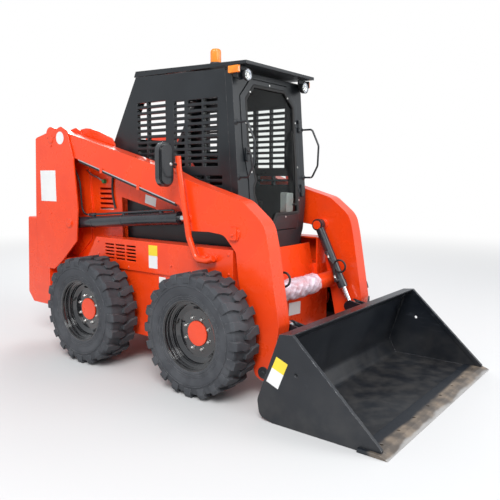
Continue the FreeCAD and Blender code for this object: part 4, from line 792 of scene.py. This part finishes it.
for hand, side in SIDES:
    lamp("front_lamp_" + hand, at(0.612, side * FRONT_LAMP_Y, LAMP_Z), AHEAD)
    lamp("rear_lamp_" + hand, at(-0.474, side * REAR_LAMP_Y, LAMP_Z), BACK)

bracket_places = [facing(at(-0.421, side * REAR_LAMP_Y, LAMP_Z), BACK) for _, side in SIDES]
brackets = built("rear_lamp_brackets", "black", "chassis",
                 *[(slab, rounded_box(0.030, 0.044, 0.004), place, 0.022) for place in bracket_places])
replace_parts(brackets, "work_lamps")

ROOF_Z = 2.0817
BEACON = at(0.300, -0.290, ROOF_Z)
FLUTES = 30
FLUTE_DEPTH = 0.018
mesh = bmesh.new()
loops = []
for radius, height in ((0.0350, 0.024), (0.0360, 0.028), (0.0360, 0.092), (0.0340, 0.104), (0.0270, 0.111),
                       (0.0, 0.112)):
    loop = []
    for angle in circle(FLUTES * 4):
        fluted = radius * (1 - FLUTE_DEPTH * (1 + math.cos(angle * FLUTES)))
        loop.append(mesh.verts.new(BEACON + Vector((fluted * math.cos(angle), fluted * math.sin(angle), height))))
    loops.append(loop)
skin(mesh, loops)
bmesh.ops.remove_doubles(mesh, verts=mesh.verts, dist=0.00001)
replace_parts(finish_piece("beacon_dome", mesh, "amber", "chassis"), "beacon")
built("beacon_base", "plastic", "chassis",
      (turned, [(0, 0.0003), (0.040, 0.0003), (0.040, 0.014), (0.038, 0.022), (0.035, 0.024), (0, 0.024)],
       facing(BEACON, UP), 40))

MARKER_BASE, MARKER_RIB_FOOT = 0.006, 0.0195
for hand, side in SIDES:
    place = facing(at(0.556, side * 0.4003, 2.020), (0, side, 0))
    lens_place, rib_place = (place @ Matrix.Translation((0, 0, out)) for out in (MARKER_BASE, MARKER_RIB_FOOT))
    ribs = [rectangle(x - 0.002, x + 0.002, -0.016, 0.016) for x in (-0.032 + 0.008 * i for i in range(9))]
    built("marker_base_" + hand, "plastic", "chassis", (slab, rounded_box(0.092, 0.050, 0.006), place, MARKER_BASE))
    built("marker_" + hand, "amber", "chassis",
          (slab, rounded_box(0.088, 0.046, 0.006), lens_place, 0.015, 0.003),
          *[(slab, rib, rib_place, 0.0022, 0.0012) for rib in ribs])

# %% [markdown]
# ## Mirrors and handles
#
# The mirrors look back along the arms: a flat glass on the rear face, and a bolt where the stub holds the
# housing. The grab handles stand on small round flanges.

# %% Mirrors and handles
for hand, side in SIDES:
    built("mirror_glass_" + hand, "chrome", "chassis",
          (slab, rounded_box(0.112, 0.262, 0.054, steps=10), facing(at(0.2278, side * 0.726, 1.4225), BACK), 0.0012,
           0.001))
    built("mirror_bolt_" + hand, "zinc", "chassis", (bolt, at(0.2762, side * 0.700, 1.425), AHEAD, 0.011))
    feet = [at(0.6112 - (z - DOOR_FOOT) * math.tan(CAB_LEAN), side * 0.386, z) for z in (1.695, 1.345)]
    built("handle_flanges_" + hand, "black", "chassis",
          *[(turned, [(0.0072, 0), (0.019, 0), (0.019, 0.003), (0.011, 0.006), (0.0072, 0.010)], facing(foot, AHEAD))
            for foot in feet])

# %% [markdown]
# ## Hoses
#
# Two kinds of free hose show: the one from each tower to the oil line on the lift cylinder, and the one
# with a loop in it between the two ports of each tilt cylinder. Both follow the routes of their solids,
# as smooth curves, and end in crimped sleeves.

# %% Hoses
LIFT_Y = 0.5275
TILT_Y = 0.410
HOSE_RADIUS = 0.007
SLEEVE = [(0.0072, 0.0), (0.0092, 0.001), (0.0092, 0.008), (0.0084, 0.0095), (0.0092, 0.011), (0.0092, 0.019),
          (0.0072, 0.020)]


def beside(rear, front, distance, off, y):
    """A point beside the line between two pins, at a distance along it and off it, on the plane y."""
    start, end = Vector(rear), Vector(front)
    run = (end - start).normalized()
    point = start + run * distance + Vector((-run.y, run.x)) * off
    return at(point.x, y, point.y)


def hose(name, points, body, node):
    """A hose on a smooth curve through a route's points, with a sleeve at each end."""
    data = bpy.data.curves.new(name, "CURVE")
    data.dimensions = "3D"
    data.bevel_depth = HOSE_RADIUS
    data.bevel_resolution = 6
    data.resolution_u = 10
    data.use_fill_caps = True
    spline = data.splines.new("NURBS")
    spline.points.add(len(points) - 1)
    for control, point in zip(spline.points, points):
        control.co = (*point, 1)
    spline.order_u = 3
    spline.use_endpoint_u = True
    piece = add_object(name, data)
    data.materials.append(materials["hose"])
    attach(piece, body)
    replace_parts(piece, node)
    sleeves = built(name + "_sleeves", "zinc", body,
                    *[(turned, SLEEVE, facing(end, inner - end), 20) for end, inner in (points[:2], points[:-3:-1])])


LIFT_ROUTE = [(0.1687, 0.057), (0.112, 0.057), (0.074, 0.099), (0.072, 0.190), (0.078, 0.290), (0.050, 0.375),
              (0.010, 0.430)]
LOOP_RADIUS = 0.044
LOOP_POINTS = 12
LOOP_MIDDLE = (0.352, 0.068)
LOOP_LOW, LOOP_HIGH = 0.044, 0.064
LOOP_CORNER = LOOP_RADIUS / math.cos(math.pi / LOOP_POINTS)
tilt_route = [(0.2423, 0, LOOP_LOW), (0.2673, 0, LOOP_LOW), (0.3043, 0.014, LOOP_LOW)]
for i in range(LOOP_POINTS + 1):
    share = i / LOOP_POINTS
    angle = 2 * math.pi * (share - 0.25 - 0.5 / LOOP_POINTS)
    tilt_route.append((LOOP_MIDDLE[0] + LOOP_CORNER * math.cos(angle), LOOP_MIDDLE[1] + LOOP_CORNER * math.sin(angle),
                       LOOP_LOW + share * (LOOP_HIGH - LOOP_LOW)))
tilt_route += [(0.3978, 0, LOOP_HIGH), (0.4198, 0, LOOP_HIGH)]
for hand, side in SIDES:
    points = [beside(LIFT_REAR_PIN, LIFT_FRONT_PIN, distance, off, side * LIFT_Y) for distance, off in LIFT_ROUTE]
    hose("lift_hose_" + hand + "_curve", points, "lift_barrel_" + hand, "lift_hose_" + hand)
    points = [beside(TILT_UPPER_PIN, TILT_LOWER_PIN, distance, off, side * (TILT_Y - out))
              for distance, off, out in tilt_route]
    hose("tilt_hose_" + hand + "_curve", points, "tilt_barrel_" + hand, "tilt_hose_" + hand)

# %% [markdown]
# ## Sheet metal and pipes
#
# Behind the cab each side frame rises to a hump, which closes the view under the arm. Two lines run in
# clamps below the beam: a chrome pipe, and under it a black hose that is painted shadow, the shade under the
# pipe. A block keeps each upper tilt pin from turning, and two more pipes lie on the side frame: one turns
# back into the tower, the other runs down to the lift cylinder.

# %% Sheet metal and pipes
SHEET_INNER, SHEET_OUTER = 0.4415, 0.4525
HUMP = [(-1.160, 1.322), (-1.160, 1.560), (-1.110, 1.640), (-1.040, 1.694), (-0.975, 1.716), (-0.910, 1.723),
        (-0.845, 1.716), (-0.740, 1.688), (-0.602, 1.634), (-0.570, 1.590), (-0.556, 1.400), (-0.505, 1.400),
        (-0.505, 1.322)]
BEAM_LOW = ((-0.830, 1.4717), (0.200, 1.1720))
BEAM_SLOPE = (BEAM_LOW[1][1] - BEAM_LOW[0][1]) / (BEAM_LOW[1][0] - BEAM_LOW[0][0])
# The second row, a black hose under the chrome pipe, is painted shadow: it stands for the pipe's shade.
BEAM_PIPE_AND_SHADOW_ROWS = (("chrome", 0.5880, 0.0010, 0.0050), ("hose", 0.5800, -0.0120, 0.0068))
BEAM_CLAMPS = (-0.560, -0.160)
CLAMP_HALF = 0.014
CLAMP_SHEETS = ((-0.022, 0.012, 0.5920, 0.003, 0.001), (0.007, 0.012, 0.5853, 0.008),
                (-0.022, -0.019, 0.5720, 0.021))
PIN_BLOCK = (0.700, 0.5853, 1.000)
PIPE_Y = 0.462
RETURN_PIPE = [(-0.583, 1.392), (-0.588, 1.340), (-0.597, 1.280), (-0.594, 1.210), (-0.580, 1.150), (-0.566, 1.110)]
TOWER_PIPE = [(-0.690, 1.312), (-0.715, 1.318), (-0.740, 1.328), (-0.780, 1.345), (-0.815, 1.352), (-0.850, 1.366),
              (-0.900, 1.400)]


def pipe(name, route, y, radius, material, body):
    """A pipe along (x, z) points on the plane y."""
    built(name, material, body, (bar, [at(x, y, z) for x, z in route], radius))


for hand, side in SIDES:
    outwards = (0, side, 0)
    built("side_hump_" + hand, "orange", "chassis",
          (slab, [(-side * x, z) for x, z in HUMP], facing(at(0, side * SHEET_INNER, 0), outwards),
           SHEET_OUTER - SHEET_INNER))
    # Builds the chrome pipe and the black hose under it that is painted shadow.
    for kind, y, drop, radius in BEAM_PIPE_AND_SHADOW_ROWS:
        pipe("beam_pipe_and_shadow_" + kind + "_" + hand, [(x, z + drop) for x, z in BEAM_LOW], side * y, radius, kind,
             "lift_arm")
    clamps = [(x, BEAM_LOW[0][1] + (x - BEAM_LOW[0][0]) * BEAM_SLOPE) for x in BEAM_CLAMPS]
    built("beam_clamps_" + hand, "orange", "lift_arm",
          *[(slab, rectangle(-CLAMP_HALF, CLAMP_HALF, low, high), facing(at(x, side * y, z), outwards), *sizes)
            for x, z in clamps for low, high, y, *sizes in CLAMP_SHEETS])
    x, y, z = PIN_BLOCK
    built("pin_block_" + hand, "orange", "lift_arm",
          (slab, rounded_box(0.060, 0.082, 0.012), facing(at(x, side * y, z), outwards), 0.0190, 0.003))
    pipe("return_pipe_" + hand, RETURN_PIPE, side * PIPE_Y, 0.0080, "hose", "chassis")
    pipe("tower_pipe_" + hand, TOWER_PIPE, side * PIPE_Y, 0.0072, "zinc", "chassis")
    place = facing(at(TOWER_PIPE[0][0], side * 0.4535, TOWER_PIPE[0][1]), outwards)
    built("pipe_nuts_" + hand, "green" if side < 0 else "zinc", "chassis",
          (turned, [(0, 0), (0.019, 0), (0.019, 0.014), (0, 0.014)], place, 6),
          (turned, [(0, 0.0142), (0.015, 0.0142), (0.015, 0.022), (0.012, 0.025), (0, 0.025)], place))

# %% [markdown]
# ## The film on the cross tube
#
# The cross tube of the arms still wears its packing film, wound round it and crumpled.

# %% Film
TUBE_X, TUBE_Z = 0.785, 0.590
FILM_RADIUS, FILM_SWELL, FOLD_HEIGHT = 0.0640, 0.0040, 0.011
FILM_RIGHT, FILM_LEFT = -0.285, 0.215
FILM_ROWS, FILM_STEPS = 90, 72
random.seed(4)
waves = [(random.uniform(8, 60), random.randint(1, 9), random.uniform(0, 6.28), random.uniform(0.4, 1.0))
         for _ in range(16)]
mesh = bmesh.new()
loops = []
for row in range(FILM_ROWS + 1):
    y = FILM_RIGHT + row / FILM_ROWS * (FILM_LEFT - FILM_RIGHT)
    loop = []
    for angle in circle(FILM_STEPS):
        lift = sum(size * math.sin(pitch * y + turns * angle + phase) for pitch, turns, phase, size in waves)
        folds = abs(math.sin(23 * y + 2 * angle)) ** 6 * 0.35 + abs(math.sin(41 * y - 3 * angle + 1)) ** 8 * 0.3
        radius = FILM_RADIUS + FILM_SWELL * (1 + math.tanh(0.4 * lift)) + FOLD_HEIGHT * folds
        loop.append(mesh.verts.new(at(TUBE_X, y, TUBE_Z) + upright(radius, angle)))
    loops.append(loop)
skin(mesh, loops)
wrap = finish_piece("tube_film", mesh, "film", "lift_arm", smooth=60)

# %% [markdown]
# ## Welds
#
# A bead of weld runs round each end of the cross tube and along the seams of the bucket.

# %% Welds
def bead(mesh, points, radius, ripple, steps=8):
    """A weld bead along points: a bar whose thickness ripples."""
    rings = []
    for i, point in enumerate(points):
        ahead = heading(points, i)
        side = (ahead.orthogonal() if abs(ahead.y) > 0.99 else ahead.cross(Vector(LEFT))).normalized()
        size = radius * (1 + ripple * math.sin(i * 2.1))
        rings.append(hoop(mesh, point, side, ahead.cross(side), size, steps))
    skin(mesh, rings, caps=True)


def between(start, end, pitch=0.004):
    count = max(2, int((end - start).length / pitch))
    return [start.lerp(end, i / count) for i in range(count + 1)]


WELD_CIRCLE = 0.0590
TUBE_ENDS = [at(TUBE_X, side * 0.4685, TUBE_Z) for _, side in SIDES]
built("welds_arm", "orange", "lift_arm",
      *[(bead, [end + upright(WELD_CIRCLE, angle) for angle in circle(96) + [2 * math.pi]], 0.0042, 0.12)
        for end in TUBE_ENDS])
seams = []
for y in (-0.8140, 0.8140):
    seams += [(bead, between(at(1.216, y, 0.440), at(1.117, y, 0.125)), 0.0042, 0.14),
              (bead, between(at(1.190, y, 0.010), at(1.690, y, 0.010)), 0.0040, 0.14)]
built("welds_bucket", "bucket", "bucket", *seams)

# %% [markdown]
# ## The seat
#
# Cushion and backrest are padded. Each starts from its solid, a little smaller, and is blown up with a
# cloth simulation whose movement is capped. Seams are then pressed in on the side that is sat on.

# %% Seat
VOXEL = 0.006
SHRINK = 0.009
SWELL_CAP = 0.014
CLOTH_FRAMES = 20
CLOTH_PRESSURE = 4
SEAM_DEPTH = 0.009
SEAM_WIDTH = 0.008


def with_modifiers(piece):
    """The mesh of a piece with its modifiers, as new data."""
    graph = bpy.context.evaluated_depsgraph_get()
    graph.update()
    return bpy.data.meshes.new_from_object(piece.evaluated_get(graph))


def apply_modifier(piece, kind, **settings):
    """Puts a modifier on the piece and keeps the mesh that comes out of it."""
    modifier = piece.modifiers.new(kind, kind)
    for setting, value in settings.items():
        setattr(modifier, setting, value)
    data = with_modifiers(piece)
    piece.modifiers.remove(modifier)
    piece.data = data


def swell(piece):
    """Blows the piece up as cloth and keeps each point within the cap."""
    before = [vertex.co.copy() for vertex in piece.data.vertices]
    cloth = piece.modifiers.new("Cloth", "CLOTH")
    cloth.settings.use_pressure = True
    cloth.settings.uniform_pressure_force = CLOTH_PRESSURE
    cloth.settings.effector_weights.gravity = 0
    for number in range(1, CLOTH_FRAMES + 1):
        scene.frame_set(number)
    after = with_modifiers(piece)
    piece.modifiers.remove(cloth)
    for vertex, start, end in zip(piece.data.vertices, before, after.vertices):
        step = end.co - start
        if step.length > SWELL_CAP:
            step *= SWELL_CAP / step.length
        vertex.co = start + step
    scene.frame_set(1)


def padded_piece(name, node, seams, face):
    """A cushion from a solid: seams are (axis, value) planes, pressed in on the side that face names."""
    low, high = (Vector(corner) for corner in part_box(node))
    middle = (low + high) / 2
    half = (high - low) / 2
    data = nodes[node].data.copy()
    data.transform(nodes[node].matrix_world)
    for vertex in data.vertices:
        for axis in range(3):
            vertex.co[axis] = middle[axis] + (vertex.co[axis] - middle[axis]) * (1 - SHRINK / half[axis])
    piece = add_object(name, data)
    apply_modifier(piece, "REMESH", mode="VOXEL", voxel_size=VOXEL)
    swell(piece)
    normals = [vertex.normal.copy() for vertex in piece.data.vertices]
    for vertex, normal in zip(piece.data.vertices, normals):
        outside = max(0.0, normal.dot(Vector(face)))
        press = max(math.exp(-((vertex.co[axis] - value) / SEAM_WIDTH) ** 2) for axis, value in seams)
        vertex.co -= normal * SEAM_DEPTH * press * outside
    apply_modifier(piece, "SUBSURF", levels=1)
    piece.data.materials.clear()
    piece.data.materials.append(materials["seat"])
    for polygon in piece.data.polygons:
        polygon.use_smooth = True
    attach(piece, "chassis")
    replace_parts(piece, node)


cushion_low, cushion_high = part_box("seat_cushion")
back_low, back_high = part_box("seat_back")
cushion_middle = (cushion_low[0] + cushion_high[0]) / 2
back_middle = (back_low[2] + back_high[2]) / 2
padded_piece("seat_cushion_padded", "seat_cushion", [(1, -0.130), (1, 0.130), (0, cushion_middle + 0.02)], UP)
padded_piece("seat_back_padded", "seat_back",
             [(1, -0.120), (1, 0.120), (2, back_middle - 0.09), (2, back_middle + 0.09)], AHEAD)

# %% [markdown]
# ## The floor and the light
#
# A plain pale floor and a large soft light from the upper right, a weaker one from the left, and an even
# sky. The camera sees a white background.

# %% Stage
FLOOR_HALF = 60
FADE_START, FADE_END = 3.0, 11.0


def blend_into(tree, mask, first, second, output):
    """Sends a mix of two shaders to an output, by a mask."""
    blend = add(tree, "MixShader", {0: mask, 1: first.outputs[0], 2: second.outputs[0]})
    tree.links.new(blend.outputs[0], tree.nodes[output].inputs["Surface"])


def floor():
    """A floor that fades into the background far from the machine, for the camera only."""
    material, tree, shader = new_material("Pale floor", Base_Color=(0.62, 0.62, 0.62, 1), Roughness=0.9,
                                          Specular_IOR_Level=0.1)
    distance = add(tree, "VectorMath", {0: add(tree, "NewGeometry").outputs["Position"]}, operation="LENGTH")
    far_off = ramp_node(tree, distance.outputs["Value"], FADE_START, FADE_END)
    seen = math_node(tree, "MULTIPLY", far_off, add(tree, "LightPath").outputs["Is Camera Ray"])
    blend_into(tree, seen, shader, add(tree, "Emission"), "Material Output")
    plane = bmesh.new()
    bmesh.ops.create_grid(plane, x_segments=1, y_segments=1, size=FLOOR_HALF)
    data = bpy.data.meshes.new("Floor")
    plane.to_mesh(data)
    plane.free()
    data.materials.append(material)
    ground = add_object("Floor", data)
    ground.location.z = -0.001


def soft_light(name, location, target, size, power):
    data = bpy.data.lights.new(name, "AREA")
    data.shape = "DISK"
    data.size = size
    data.energy = power
    light = add_object(name, data)
    light.location = location
    light.rotation_euler = (Vector(target) - Vector(location)).to_track_quat("-Z", "Y").to_euler()


floor()
soft_light("Key", (3.2, -5.5, 6.5), (0, 0, 0.8), 4.5, 620)
soft_light("Fill", (6.0, 2.5, 3.5), (0, 0, 0.8), 4.0, 180)
soft_light("Rim", (-5.0, 4.0, 5.0), (0, 0, 1.0), 4.0, 260)

world = bpy.data.worlds.new("Studio")
scene.world = world
world.use_nodes = True
tree = world.node_tree
sky = tree.nodes["Background"]
sky.inputs["Color"].default_value = (0.93, 0.96, 1.0, 1)
sky.inputs["Strength"].default_value = 0.75
backdrop = add(tree, "Background", {"Color": (1, 1, 1, 1)})
path = add(tree, "LightPath").outputs
seen = math_node(tree, "MAXIMUM", path["Is Camera Ray"], path["Is Transmission Ray"])
blend_into(tree, seen, sky, backdrop, "World Output")
scene.view_settings.view_transform = "Standard"
